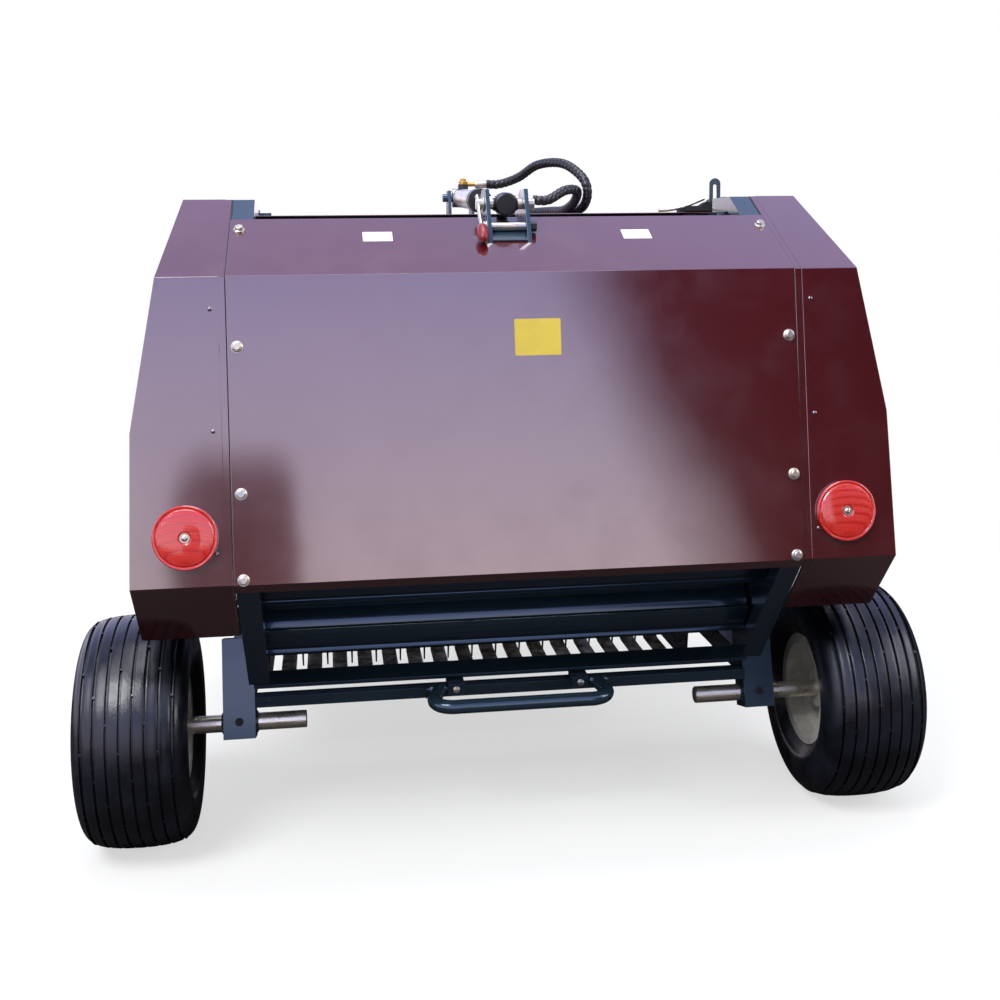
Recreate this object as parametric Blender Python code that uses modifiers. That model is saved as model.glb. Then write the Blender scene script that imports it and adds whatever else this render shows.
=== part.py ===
"""Towed mini round baler: fixed chamber of steel rollers, hydraulic tailgate, pickup and drawbar.

Metres, +Z up, +X to the machine's right seen from behind, +Y towards the drawbar.
Lengths along Y are measured from the foot of the tailgate's rear panel, and heights from the ground.
The whole machine hangs under one empty, which puts the middle of its length at the origin.
"""
from math import atan2, cos, degrees, hypot, pi, radians, sin

import bmesh
import bpy
from mathutils import Matrix, Vector

# Driving dimensions
MACHINE_MIDDLE_Y = 0.971      # half way between the rear bolts and the tip of the hitch
SEAT_GAP = 0.0003             # between pieces that bear on each other
SHAFT_PLAY = 0.0005           # round a shaft in its hole
SWING_GAP = 0.010             # between the tailgate and the front half
WELD_OVERLAP = 0.004          # of a piece into the one it is welded to

# Wheels
TYRE_DIAMETER = 0.457
TYRE_WIDTH = 0.212
AXLE_Y = 0.335
AXLE_Z = TYRE_DIAMETER / 2
RIM_DIAMETER = 0.203
RIM_FLANGE_DIAMETER = 0.240
AXLE_DIAMETER = 0.035
AXLE_PAST_WHEEL = 0.085       # from the wheel's middle to the axle's outer end
HUB_DIAMETER = 0.085
WHEEL_FACETS = 24

# Chamber and its rollers
CHAMBER_Y = 0.540
CHAMBER_Z = 0.775
ROLLER_CIRCLE_RADIUS = 0.410
ROLLER_RADIUS = 0.060
ROLLER_RIB_HEIGHT = 0.008
ROLLER_RIB_WIDTH = 0.012
ROLLER_RIBS = 6
ROLLER_SHAFT_DIAMETER = 0.030
ROLLER_END_GAP = 0.006
SPROCKET_RADIUS = 0.0444
SPROCKET_ROOT_RADIUS = 0.037
SPROCKET_TEETH = 13
SPROCKET_THICKNESS = 0.008
SPROCKET_STANDOFF = 0.008     # from the wall's outer face
CHAIN_PITCH = 0.0254
CHAIN_WIDTH = 0.014
CHAIN_PIN_HEIGHT = 0.016      # of a link at its pins
CHAIN_WAIST_HEIGHT = 0.010    # of a link at its middle

# Chamber walls
WALL_INNER_X = 0.500
WALL_THICKNESS = 0.006
WALL_OUTER_X = WALL_INNER_X + WALL_THICKNESS
SPLIT_Y = 0.500
TOP_Z = 1.250
SHEET = 0.002

# Tailgate outline, as (y, z)
PANEL_FOOT = (0.000, 0.605)
PANEL_KNEE = (0.085, 1.135)
GATE_CREST = (0.345, 1.277)
ARM_END = (0.225, 0.345)
PANEL_TOP_Y = 0.270
PANEL_LIP = 0.022
GATE_FRAME_DEPTH = 0.030
GATE_FRAME_INNER_X = WALL_INNER_X - 0.025
GATE_FRAME_OUTER_X = WALL_OUTER_X + 0.009
PANEL_HALF_WIDTH = GATE_FRAME_OUTER_X + 0.002
GATE_FRAME_END_BACK = 0.036   # of the frame's upper end behind the wall's edge
GATE_WALL_FOOT_Z = 0.360
GATE_CORNER_ANGLE = 150       # of the wall's corner cut, seen from the lowest front roller's middle
GATE_CORNER_GAP = 0.008
HINGE_Y = 0.500
HINGE_Z = 1.235
HINGE_PIN_DIAMETER = 0.030
HINGE_LUG_RADIUS = 0.030
HINGE_EYE_RADIUS = 0.026
HINGE_NOTCH_RADIUS = 0.032
HINGE_LUG_THICKNESS = 0.008
HINGE_LUG_DROP = 0.085

# Side covers
COVER_INNER_X = PANEL_HALF_WIDTH + 0.013
HOOD_HALF_WIDTH = COVER_INNER_X + 0.070
COVER_FOOT_Z = 0.482
COVER_FOOT_X = HOOD_HALF_WIDTH + 0.092
COVER_WAIST_Z = 0.870
COVER_WAIST_X = HOOD_HALF_WIDTH + 0.085
COVER_KNEE_X = HOOD_HALF_WIDTH + 0.037
COVER_CREST_X = HOOD_HALF_WIDTH + 0.010
COVER_BRACKET_HEIGHTS = (0.660, 0.870, 1.080)
COVER_BRACKET_HEIGHT = 0.040
COVER_BRACKET_DEPTH = 0.018
REFLECTOR_DIAMETER = 0.112
REFLECTOR_THICKNESS = 0.012
REFLECTOR_X = HOOD_HALF_WIDTH - 0.003
REFLECTOR_Z = 0.690

# Tailgate cylinder
EAR_PIN_Y = 0.250
EAR_PIN_Z = 1.262
EAR_FOOT_Z = 1.235
EAR_INNER_X = 0.033
EAR_THICKNESS = 0.008
EAR_PIN_END = 0.022           # from the ears' inner faces to the pin's ends
EAR_REAR_Y = 0.178
EAR_HEAD_BEHIND = 0.022       # of the pin's middle, as are the next two
EAR_HEAD_AHEAD = 0.030
EAR_HEAD_OVER = 0.028
EAR_FRONT_HEIGHT = 0.018
EAR_TUBE_WIDTH = 0.040
EAR_TUBE_HEIGHT = 0.039
EAR_TUBE_BACK = 0.015         # of the frame's inner corner
EAR_BOLT_PLACE = (0.208, 1.219)
EAR_BOLT_DIAMETER = 0.012
EAR_BOLT_ENDS = (0.008, 0.012)
CYLINDER_PIN_Y = 1.060
CYLINDER_PIN_Z = 1.305
CYLINDER_PIN_DIAMETER = 0.020
BARREL_DIAMETER = 0.046
BARREL_LENGTH = 0.350
GLAND_DIAMETER = 0.054
GLAND_LENGTH = 0.040
ROD_DIAMETER = 0.024
ROD_HEAD_DIAMETER = 0.045
BARREL_EYE_WIDTH = 0.040
BARREL_EYE_DIAMETER = 0.048
BARREL_NECK_DIAMETER = 0.032
BARREL_START = 0.030          # from the root pin's middle
BARREL_END_THICKNESS = 0.020
ROD_INSIDE = 0.060            # of the rod's length behind the barrel's front end
PORT_DIAMETER = 0.018
PORT_BOSS_DIAMETER = 0.026
PORT_BOSS_TOP = 0.012
# Ports: distance along the barrel from its start, height over its axis, start and end of the fitting in x
PORTS = (
    (0.040, 0.034, 0.006, 0.058),
    (0.366, 0.000, 0.018, 0.122),
)
LUG_GAP = 0.005
LUG_FOOT_BEHIND = 0.030       # of the root pin's middle, as are the next four
LUG_FOOT_AHEAD = 0.040
LUG_HEAD_BEHIND = 0.020
LUG_HEAD_AHEAD = 0.024
LUG_HEAD_OVER = 0.018
LUG_PIN_END = 0.012
BRACKET_HALF_WIDTH = 0.050
BRACKET_THICKNESS = 0.005

# Lower frame
ARM_TUBE_WIDTH = 0.064
ARM_TUBE_DEPTH = 0.060
ARM_INNER_X = WALL_OUTER_X + 0.005
ARM_TO_TYRE = 0.054
AXLE_INNER_END_X = ARM_INNER_X - 0.102
WHEEL_TRACK = 2 * (ARM_INNER_X + ARM_TUBE_WIDTH + ARM_TO_TYRE) + TYRE_WIDTH
ARM_LEAN = radians(15)
ARM_BELOW_AXLE = 0.030
ARM_LENGTH = 0.200
RAIL_HEIGHT = 0.050
RAIL_Z = 0.290
FRONT_BEAM_Z = 0.420
FRONT_BEAM_SIZE = 0.070
FRONT_BEAM_REACH = HOOD_HALF_WIDTH + 0.035
BEAM_TOP_Z = FRONT_BEAM_Z + FRONT_BEAM_SIZE / 2
FRONT_Y = 1.190
HOOD_CORNER_Y = 1.110
HOOD_SHOULDER_Z = 1.150
HOOD_FOOT_Z = 0.660
WALL_FOOT_Z = 0.299
WALL_FRONT_Z = 0.380
WALL_NOSE_Y = 1.110
WALL_NOSE_Z = 0.310

# Rear beams: the angle's fold as (y, z), its two legs, and the box beam's (low, high)
ANGLE_BEAM_FOLD = (0.345, 0.331)
ANGLE_BEAM_TOP_LEG = 0.050
ANGLE_BEAM_FALL = 0.013
ANGLE_BEAM_FRONT_LEG = 0.036
ANGLE_BEAM_THICKNESS = 0.006
BOX_BEAM_Y = (0.305, 0.335)
BOX_BEAM_Z = (0.268, 0.290)

CROSS_TUBE_WIDTH = 0.060
CROSS_TUBE_DEPTH = 0.036

# Drawbar, hitch and jack
HITCH_Y = 1.950
HITCH_Z = 0.420
HITCH_RADIUS = 0.050
HITCH_HOLE_DIAMETER = 0.032
HITCH_THICKNESS = 0.030
DRAWBAR_SPREAD = 0.340
DRAWBAR_TUBE = 0.060
DRAWBAR_START_Y = FRONT_Y + FRONT_BEAM_SIZE + SEAT_GAP
HITCH_NECK = 0.130
NECK_Y = HITCH_Y - HITCH_NECK
NECK_HALF_WIDTH = 0.045
DRAWBAR_TIE_Y = 1.600
DRAWBAR_TIE_WIDTH = 0.050
JACK_BEHIND_NECK = 0.140
JACK_OFF_LEG = 0.0387         # from the drawbar's side to the jack's tube
JACK_TUBE = 0.060
JACK_LEG = 0.045
JACK_TOP_Z = 0.780
JACK_TUBE_LENGTH = 0.520
JACK_LEG_INSIDE = 0.180
JACK_FOOT = 0.140
JACK_FOOT_THICKNESS = 0.008
JACK_PLATE_THICKNESS = 0.012
JACK_PLATE_WIDTH = 0.100
JACK_PLATE_HEIGHT = 0.140
JACK_Y = NECK_Y - JACK_BEHIND_NECK

# Gearbox input
PTO_DIAMETER = 0.035
PTO_LENGTH = 0.110
PTO_FOOT_AHEAD = 0.010        # of the gearbox's front face
GEARBOX_HALF_WIDTH = 0.080
GEARBOX_BACK_GAP = 0.012
GEARBOX_DEPTH = 0.168
GEARBOX_HEIGHT = 0.170
GEARBOX_SHAFT_AHEAD = 0.096
GEARBOX_NOSE_DIAMETER = 0.090
GEARBOX_NOSE_LENGTH = 0.025
CROSS_DRIVE_DIAMETER = 0.060
DRIVE_BEARING_SIZE = 0.090

# Twine box on the front beam
TWINE_BOX_X = (GEARBOX_HALF_WIDTH + 0.070, HOOD_HALF_WIDTH - 0.050)
TWINE_BOX_DEPTH = 0.200
TWINE_BOX_HEIGHT = 0.280
TWINE_BOX_WALL = 0.004
TWINE_PIN_DIAMETER = 0.008
TWINE_PIN_AHEAD = 0.010       # of the box's near face
TWINE_PIN_OVER = 0.0075       # over the box's rim
TWINE_PIN_INSET = 0.050
TWINE_POST_WIDTH = 0.012
TWINE_EYE_LENGTH = 0.030
TWINE_EYE_DIAMETER = 0.014
TWINE_LID_THICKNESS = 0.003
TWINE_LID_BACK_GAP = 0.026

# Side door hinges
DOOR_PIN_X = COVER_FOOT_X - 0.016
DOOR_PIN_AHEAD = 0.006         # of the front sheet's plane
DOOR_PIN_DIAMETER = 0.012
DOOR_HINGE_HEIGHTS = (0.560, 0.800)
DOOR_KNUCKLE_HEIGHT = 0.040
DOOR_KNUCKLE_WALL = 0.004
DOOR_PIN_OVER = 0.004
DOOR_LUG_THICKNESS = 0.008
DOOR_STRAP_REACH = 0.030
DOOR_FRONT_BACK = 0.010       # of the door's front edge behind the front sheet
DOOR_TOP_Z = TOP_Z - 0.015
DOOR_TOP_X = COVER_CREST_X + 0.004
DOOR_POST_SIZE = 0.030
DOOR_POST_TOP_Z = 1.100

# Hinged rear bar
REAR_BAR_DIAMETER = 0.028
REAR_BAR_HINGE_Y = 0.274
REAR_BAR_HINGE_Z = 0.2975
REAR_BAR_MIDDLE_X = 0.020
REAR_BAR_BLOCK_X = (0.110, 0.145)   # each side of its middle
REAR_BAR_REACH = 0.075
REAR_BAR_HALF_WIDTH = 0.175
REAR_BAR_FALL = 0.012         # of its rear run below its hinge
REAR_BAR_BEND = 0.035
REAR_BAR_PIN_DIAMETER = 0.010
REAR_BAR_EYE_DIAMETER = 0.023
REAR_BAR_BLOCK_SIZE = 0.024

# Crop guard
GUARD_Y = 1.120
GUARD_Z = 0.560
GUARD_RODS = 9
GUARD_ROD_LENGTH = 0.130
GUARD_ROD_DIAMETER = 0.010
GUARD_ROD_FALL = radians(35)
GUARD_ROD_INSET = 0.030
GUARD_END_GAP = 0.010
GUARD_TUBE_DIAMETER = 0.026
GUARD_SHAFT_DIAMETER = 0.016

# Hoses
HOSE_DIAMETER = 0.022
HOSE_POINTS = 50
COUPLER_DIAMETER = 0.027
COUPLER_LENGTH = 0.055

# Pickup
REEL_Y = 0.900
REEL_Z = 0.300
REEL_TUBE_RADIUS = 0.045
TINE_REACH = 0.175
BAND_RADIUS = 0.130
BAND_COUNT = 16
BAND_STEPS = 6
BAND_WIDTH = 0.036
BAND_THICKNESS = 0.0025
BAND_BAR_BACK = 0.155         # of the bands' bars behind the reel's axis, clear of the tines' tips
BAND_BAR_DEPTH = 0.022
BAND_BAR_HEIGHT = 0.010
TINE_PITCH = 0.0615
TINE_BARS = 4
REEL_SHAFT_DIAMETER = 0.030
REEL_END_GAP = 0.015
PICKUP_WALL_FOOT = 0.165
PICKUP_WALL_AHEAD = 0.140
TINE_DIAMETER = 0.009
TINE_TIP_DIAMETER = 0.004
TINE_START_ANGLE = 0.3

GREY_BLUE = (0.040, 0.070, 0.105, 1)
MAROON = (0.070, 0.009, 0.014, 1)

# Finishes: name, colour, metallic, roughness
FINISHES = (
    ("maroon_enamel", MAROON, 0.0, 0.25),
    ("blue_grey_enamel", GREY_BLUE, 0.0, 0.35),
    ("tyre_rubber", (0.012, 0.012, 0.013, 1), 0.0, 0.6),
    ("rim_enamel", (0.62, 0.62, 0.58, 1), 0.0, 0.4),
    ("bright_steel", (0.60, 0.60, 0.60, 1), 1.0, 0.25),
    ("black_enamel", (0.012, 0.012, 0.014, 1), 0.0, 0.4),
    ("zinc_plate", (0.62, 0.60, 0.52, 1), 1.0, 0.35),
    ("chain_steel", (0.16, 0.15, 0.14, 1), 1.0, 0.45),
    ("spring_steel", (0.10, 0.09, 0.08, 1), 1.0, 0.5),
    ("reflector_red", (0.75, 0.02, 0.02, 1), 0.0, 0.2),
    ("hose_rubber", (0.014, 0.014, 0.015, 1), 0.0, 0.5),
    ("band_steel", (0.18, 0.15, 0.12, 1), 0.7, 0.5),
)


def drawbar_outer_x(y):
    """The outer side of a drawbar leg at a place along it."""
    foot = DRAWBAR_SPREAD + DRAWBAR_TUBE / 2
    return NECK_HALF_WIDTH + (foot - NECK_HALF_WIDTH) * (NECK_Y - y) / (NECK_Y - DRAWBAR_START_Y)


JACK_X = drawbar_outer_x(JACK_Y) + JACK_OFF_LEG + JACK_TUBE / 2


def start_scene():
    """Empty the file and make the two collections, the finishes and the machine's empty."""
    for old in list(bpy.data.objects):
        bpy.data.objects.remove(old, do_unlink=True)
    for name in ("round_baler", "cutters"):
        collection = bpy.data.collections.new(name)
        bpy.context.scene.collection.children.link(collection)
    for name, colour, metallic, roughness in FINISHES:
        material = bpy.data.materials.new(name)
        material.use_nodes = True
        shader = material.node_tree.nodes["Principled BSDF"]
        shader.inputs["Base Color"].default_value = colour
        shader.inputs["Metallic"].default_value = metallic
        shader.inputs["Roughness"].default_value = roughness
        material.diffuse_color = colour


PIVOTS = {}


def pivot(body, position):
    """Make a body's empty at its joint; `position` is in the machine's own frame."""
    empty = bpy.data.objects.new("pivot_" + body, None)
    empty.empty_display_size = 0.1
    bpy.data.collections["round_baler"].objects.link(empty)
    empty.parent = PIVOTS.get("machine")
    empty.location = position
    PIVOTS[body] = empty
    return empty


def finish_object(name, mesh, location=(0, 0, 0)):
    """Wrap a mesh in an object of the machine's collection."""
    thing = bpy.data.objects.new(name, mesh)
    bpy.data.collections["round_baler"].objects.link(thing)
    thing.location = location
    return thing


def piece(thing, body, finish):
    """Give a finished object its body and its material."""
    empty = PIVOTS[body]
    thing.parent = empty
    if body != "machine":
        thing.location = Vector(thing.location) - empty.location
    thing.data.materials.clear()
    thing.data.materials.append(bpy.data.materials[finish])
    if thing.type == "MESH":
        thing.data.set_sharp_from_angle(angle=radians(35))
    return thing


def from_bmesh(name, shape, location=(0, 0, 0)):
    """Turn a bmesh into an object."""
    mesh = bpy.data.meshes.new(name)
    bmesh.ops.recalc_face_normals(shape, faces=shape.faces)
    shape.to_mesh(mesh)
    shape.free()
    return finish_object(name, mesh, location)


def block(name, low, high):
    """A box between two corners."""
    shape = bmesh.new()
    bmesh.ops.create_cube(shape, size=1.0)
    size = Vector(high) - Vector(low)
    bmesh.ops.scale(shape, vec=size, verts=shape.verts)
    return from_bmesh(name, shape, (Vector(low) + Vector(high)) / 2)


def rod_between(name, start, end, radius, sides=16, end_radius=None):
    """A round bar, or a cone, between two points."""
    start, end = Vector(start), Vector(end)
    shape = bmesh.new()
    bmesh.ops.create_cone(shape, cap_ends=True, segments=sides, radius1=radius,
                          radius2=radius if end_radius is None else end_radius,
                          depth=(end - start).length)
    turn = (end - start).to_track_quat("Z", "Y").to_matrix().to_4x4()
    bmesh.ops.transform(shape, matrix=turn, verts=shape.verts)
    return from_bmesh(name, shape, (start + end) / 2)


def tube_between(name, start, end, width, height):
    """A square bar between two points, its height in the upright plane through them."""
    start, end = Vector(start), Vector(end)
    shape = bmesh.new()
    bmesh.ops.create_cube(shape, size=1.0)
    bmesh.ops.scale(shape, vec=(width, height, (end - start).length), verts=shape.verts)
    along = (end - start).normalized()
    side = along.cross(Vector((0, 0, 1))).normalized()
    if side.length < 0.5:
        side = Vector((1, 0, 0))
    turn = Matrix((side, side.cross(along), along)).transposed().to_4x4()
    bmesh.ops.transform(shape, matrix=turn, verts=shape.verts)
    return from_bmesh(name, shape, (start + end) / 2)


def arc(centre, radius, start, end, steps):
    """Points on an arc, angles in degrees."""
    return [(centre[0] + radius * cos(radians(start + (end - start) * i / steps)),
             centre[1] + radius * sin(radians(start + (end - start) * i / steps)))
            for i in range(steps + 1)]


def slab(name, outlines, low, high, along="X"):
    """A flat plate: outlines in (y, z), or in (x, y) along Z, or in (x, z) along Y."""
    curve = bpy.data.curves.new(name, "CURVE")
    curve.dimensions = "2D"
    curve.fill_mode = "BOTH"
    curve.extrude = (high - low) / 2
    for outline in outlines:
        spline = curve.splines.new("POLY")
        spline.points.add(len(outline) - 1)
        for point, (a, b) in zip(spline.points, outline):
            point.co = (a, b, 0, 1)
        spline.use_cyclic_u = True
    flat = bpy.data.objects.new(name, curve)
    bpy.context.scene.collection.objects.link(flat)
    mesh = bpy.data.meshes.new_from_object(flat.evaluated_get(bpy.context.evaluated_depsgraph_get()))
    bpy.data.objects.remove(flat, do_unlink=True)
    shape = bmesh.new()
    shape.from_mesh(mesh)
    bmesh.ops.remove_doubles(shape, verts=shape.verts, dist=0.00001)
    turns = {"X": Matrix(((0, 0, 1), (1, 0, 0), (0, 1, 0))),
             "Y": Matrix(((1, 0, 0), (0, 0, 1), (0, 1, 0))),
             "Z": Matrix.Identity(3)}
    bmesh.ops.transform(shape, matrix=turns[along].to_4x4(), verts=shape.verts)
    middle = Vector((0, 0, 0))
    middle["XYZ".index(along)] = (low + high) / 2
    return from_bmesh(name, shape, middle)


def turned(name, profile, centre, steps):
    """A ring turned about the X axis through `centre`; the profile is a closed (x, radius) loop."""
    area = sum(a[0] * b[1] - b[0] * a[1] for a, b in zip(profile, profile[1:] + profile[:1]))
    if area < 0:
        profile = profile[::-1]
    shape = bmesh.new()
    corners = [shape.verts.new((x, 0, radius)) for x, radius in profile]
    for first, second in zip(corners, corners[1:] + corners[:1]):
        shape.edges.new((first, second))
    mesh = bpy.data.meshes.new(name)
    shape.to_mesh(mesh)
    shape.free()
    ring = finish_object(name, mesh, centre)
    screw = ring.modifiers.new("Turn", "SCREW")
    screw.axis = "X"
    screw.steps = steps
    screw.render_steps = steps
    screw.use_merge_vertices = True
    screw.merge_threshold = 0.0001
    screw.use_normal_calculate = False
    screw.use_normal_flip = False
    return ring


def combine(base, tools, operation="UNION"):
    """Join or cut with other objects, which go to the cutters."""
    for number, tool in enumerate(tools):
        modifier = base.modifiers.new("%s %d" % (operation.title(), number + 1), "BOOLEAN")
        modifier.operation = operation
        modifier.object = tool
        bpy.data.collections["round_baler"].objects.unlink(tool)
        bpy.data.collections["cutters"].objects.link(tool)
        tool.parent = PIVOTS["machine"]
        tool.hide_render = True
        tool.display_type = "WIRE"
    return base


def both_sides():
    """Left and right, as (name, sign of x)."""
    return (("left", -1), ("right", 1))


def on_line(start, end, distance):
    """The point that lies `distance` from start towards end."""
    length = hypot(end[0] - start[0], end[1] - start[1])
    return (start[0] + (end[0] - start[0]) * distance / length,
            start[1] + (end[1] - start[1]) * distance / length)


def inset(path, depth):
    """The path moved `depth` to its right-hand side, its corners mitred."""
    moved = []
    for index, point in enumerate(path):
        before = path[max(index - 1, 0)]
        after = path[min(index + 1, len(path) - 1)]
        first = Vector(point) - Vector(before) if index else Vector(after) - Vector(point)
        second = Vector(after) - Vector(point) if index < len(path) - 1 else first
        first.normalize()
        second.normalize()
        normal = Vector((first.y + second.y, -(first.x + second.x))).normalized()
        length = depth / normal.dot(Vector((first.y, -first.x)))
        moved.append((point[0] + normal.x * length, point[1] + normal.y * length))
    return moved


def gate_line_y(z):
    """Where the tailgate's rear line lies at a height."""
    share = (z - PANEL_FOOT[1]) / (PANEL_KNEE[1] - PANEL_FOOT[1])
    return PANEL_FOOT[0] + share * (PANEL_KNEE[0] - PANEL_FOOT[0])


# Angles of the rollers round the chamber, from the drawbar's side upwards, in degrees
GATE_ROLLER_ANGLES = (109, 134, 159, 184, 209.5, 235)
FRONT_ROLLER_ANGLES = (84, 57, 30, 3, -24, 268)


def roller_centre(angle):
    """A roller's place round the chamber."""
    return (CHAMBER_Y + ROLLER_CIRCLE_RADIUS * cos(radians(angle)),
            CHAMBER_Z + ROLLER_CIRCLE_RADIUS * sin(radians(angle)))


def roller_outline():
    """Tube with flat bars welded along it."""
    tube = ROLLER_RADIUS - ROLLER_RIB_HEIGHT
    half = ROLLER_RIB_WIDTH / 2
    outline = []
    for index in range(ROLLER_RIBS):
        middle = 360 * index / ROLLER_RIBS
        spread = degrees(atan2(half, tube))
        edge = degrees(atan2(half, ROLLER_RADIUS))
        reach = hypot(half, ROLLER_RADIUS)
        for angle, radius in ((middle - spread, tube), (middle - edge, reach),
                              (middle + edge, reach), (middle + spread, tube)):
            outline.append((radius * cos(radians(angle)), radius * sin(radians(angle))))
        step = (360 / ROLLER_RIBS - 2 * spread) / 2
        angle = middle + spread + step
        outline.append((tube * cos(radians(angle)), tube * sin(radians(angle))))
    return outline


def sprocket_outline():
    """A toothed wheel, each tooth one point at its tip and one at its root."""
    outline = []
    for tooth in range(SPROCKET_TEETH):
        for part, radius in ((0.0, SPROCKET_RADIUS), (0.5, SPROCKET_ROOT_RADIUS)):
            angle = 2 * pi * (tooth + part) / SPROCKET_TEETH
            outline.append((radius * cos(angle), radius * sin(angle)))
    return outline


def chain_line(centres, radius):
    """Half pitches round equal sprockets, as (point, outward normal); the centres run anticlockwise."""
    spans = []
    for before, centre, after in zip(centres[-1:] + centres[:-1], centres, centres[1:] + centres[:1]):
        arrives = atan2(before[0] - centre[0], centre[1] - before[1])
        leaves = atan2(centre[0] - after[0], after[1] - centre[1])
        turn = (leaves - arrives) % (2 * pi)
        run = hypot(after[0] - centre[0], after[1] - centre[1])
        spans.append((centre, centre, arrives, turn, radius * turn))
        spans.append((centre, after, leaves, 0.0, run))
    total = sum(span[4] for span in spans)
    steps = 4 * round(total / (2 * CHAIN_PITCH))
    line = []
    for step in range(steps):
        left = total * step / steps
        for start, end, angle, turn, length in spans:
            if left < length:
                share = left / length
                normal = Vector((cos(angle + turn * share), sin(angle + turn * share)))
                line.append((Vector(start).lerp(Vector(end), share) + normal * radius, normal))
                break
            left -= length
    return line


def chain(name, body, angles):
    """A closed chain round the sprockets of the rollers at these angles, high at its pins."""
    low_x = -WALL_OUTER_X - SPROCKET_STANDOFF - (SPROCKET_THICKNESS + CHAIN_WIDTH) / 2
    radius = SPROCKET_RADIUS + 2 * SEAT_GAP + CHAIN_PIN_HEIGHT / 2
    shape = bmesh.new()
    rings = []
    for index, (point, normal) in enumerate(chain_line([roller_centre(a) for a in sorted(angles)], radius)):
        half = (CHAIN_WAIST_HEIGHT if index % 2 else CHAIN_PIN_HEIGHT) / 2
        inner, outer = point - normal * half, point + normal * half
        rings.append([shape.verts.new((x, at.x, at.y)) for x, at in
                      ((low_x, inner), (low_x + CHAIN_WIDTH, inner),
                       (low_x + CHAIN_WIDTH, outer), (low_x, outer))])
    for first, second in zip(rings, rings[1:] + rings[:1]):
        for corner in range(4):
            following = (corner + 1) % 4
            shape.faces.new((first[corner], first[following], second[following], second[corner]))
    piece(from_bmesh(name, shape), body, "chain_steel")


def rollers():
    """Twelve ribbed rollers, each with its shaft and its sprocket at the left."""
    half = WALL_INNER_X - ROLLER_END_GAP
    for side, angles in (("gate", GATE_ROLLER_ANGLES), ("front", FRONT_ROLLER_ANGLES)):
        for number, angle in enumerate(angles, 1):
            y, z = roller_centre(angle)
            name = "%s_roller_%d" % (side, number)
            pivot(name, (0, y, z))
            roller = slab(name, [roller_outline()], -half, half)
            sprocket_x = -WALL_OUTER_X - SPROCKET_STANDOFF
            sprocket = slab(name + "_sprocket", [sprocket_outline()],
                            sprocket_x - SPROCKET_THICKNESS, sprocket_x)
            shaft = rod_between(name + "_shaft", (sprocket_x - SPROCKET_THICKNESS - 0.003, 0, 0),
                                (WALL_OUTER_X + 0.006, 0, 0), ROLLER_SHAFT_DIAMETER / 2, 8)
            combine(roller, (shaft, sprocket))
            for tool in (shaft, sprocket):
                tool.parent = PIVOTS[name]
            roller.parent = PIVOTS[name]
            roller.data.materials.append(bpy.data.materials["blue_grey_enamel"])


def wheels():
    """Ribbed implement tyres on dished rims, each turning on its stub axle."""
    half = TYRE_WIDTH / 2
    radius = TYRE_DIAMETER / 2
    bead = RIM_DIAMETER / 2
    flange = RIM_FLANGE_DIAMETER / 2
    rim_half = half * 0.80
    lip = 0.004
    seat = rim_half - lip - SEAT_GAP
    # Columns: x across the tyre, radius; one half, from the bead to the crown
    tyre_half = ((seat, bead + SEAT_GAP), (seat, flange + 0.001), (half * 0.93, flange + 0.022),
                 (half, radius * 0.74), (half * 0.96, radius * 0.86), (half * 0.82, radius * 0.945),
                 (half * 0.55, radius * 0.985))
    tyre_profile = list(tyre_half) + [(0, radius)] + [(-x, r) for x, r in tyre_half[::-1]]
    hub = HUB_DIAMETER / 2
    bore = AXLE_DIAMETER / 2 + 2 * SHAFT_PLAY
    # Columns: x across the rim (outside positive), radius
    rim_profile = (
        (-rim_half, bead - 0.004), (-rim_half, flange), (-rim_half + lip, flange),
        (-rim_half + lip, bead), (rim_half - lip, bead), (rim_half - lip, flange), (rim_half, flange),
        (rim_half, bead - 0.005), (0.050, bead - 0.007), (0.035, bead * 0.68), (0.045, hub),
        (0.075, hub), (0.075, bore), (-0.055, bore), (-0.055, hub), (0.027, hub),
        (0.022, bead * 0.70), (0.030, bead - 0.009))
    for side, sign in both_sides():
        middle = sign * WHEEL_TRACK / 2
        body = "wheel_" + side
        pivot(body, (middle, AXLE_Y, AXLE_Z))
        centre = (middle, AXLE_Y, AXLE_Z)
        piece(turned("tyre_" + side, tyre_profile, centre, WHEEL_FACETS), body, "tyre_rubber")
        outward = [(sign * x, r) for x, r in rim_profile]
        piece(turned("rim_" + side, outward, centre, WHEEL_FACETS), body, "rim_enamel")


def hole(centre, radius, sides=12):
    """A round hole's outline, its flats outside the radius so that a shaft of it fits."""
    reach = radius / cos(pi / sides)
    return arc(centre, reach, 360, 360 / sides, sides - 1)


def wall_holes(angles):
    """Round holes for the roller shafts."""
    return [hole(roller_centre(angle), ROLLER_SHAFT_DIAMETER / 2 + SHAFT_PLAY) for angle in angles]


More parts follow.
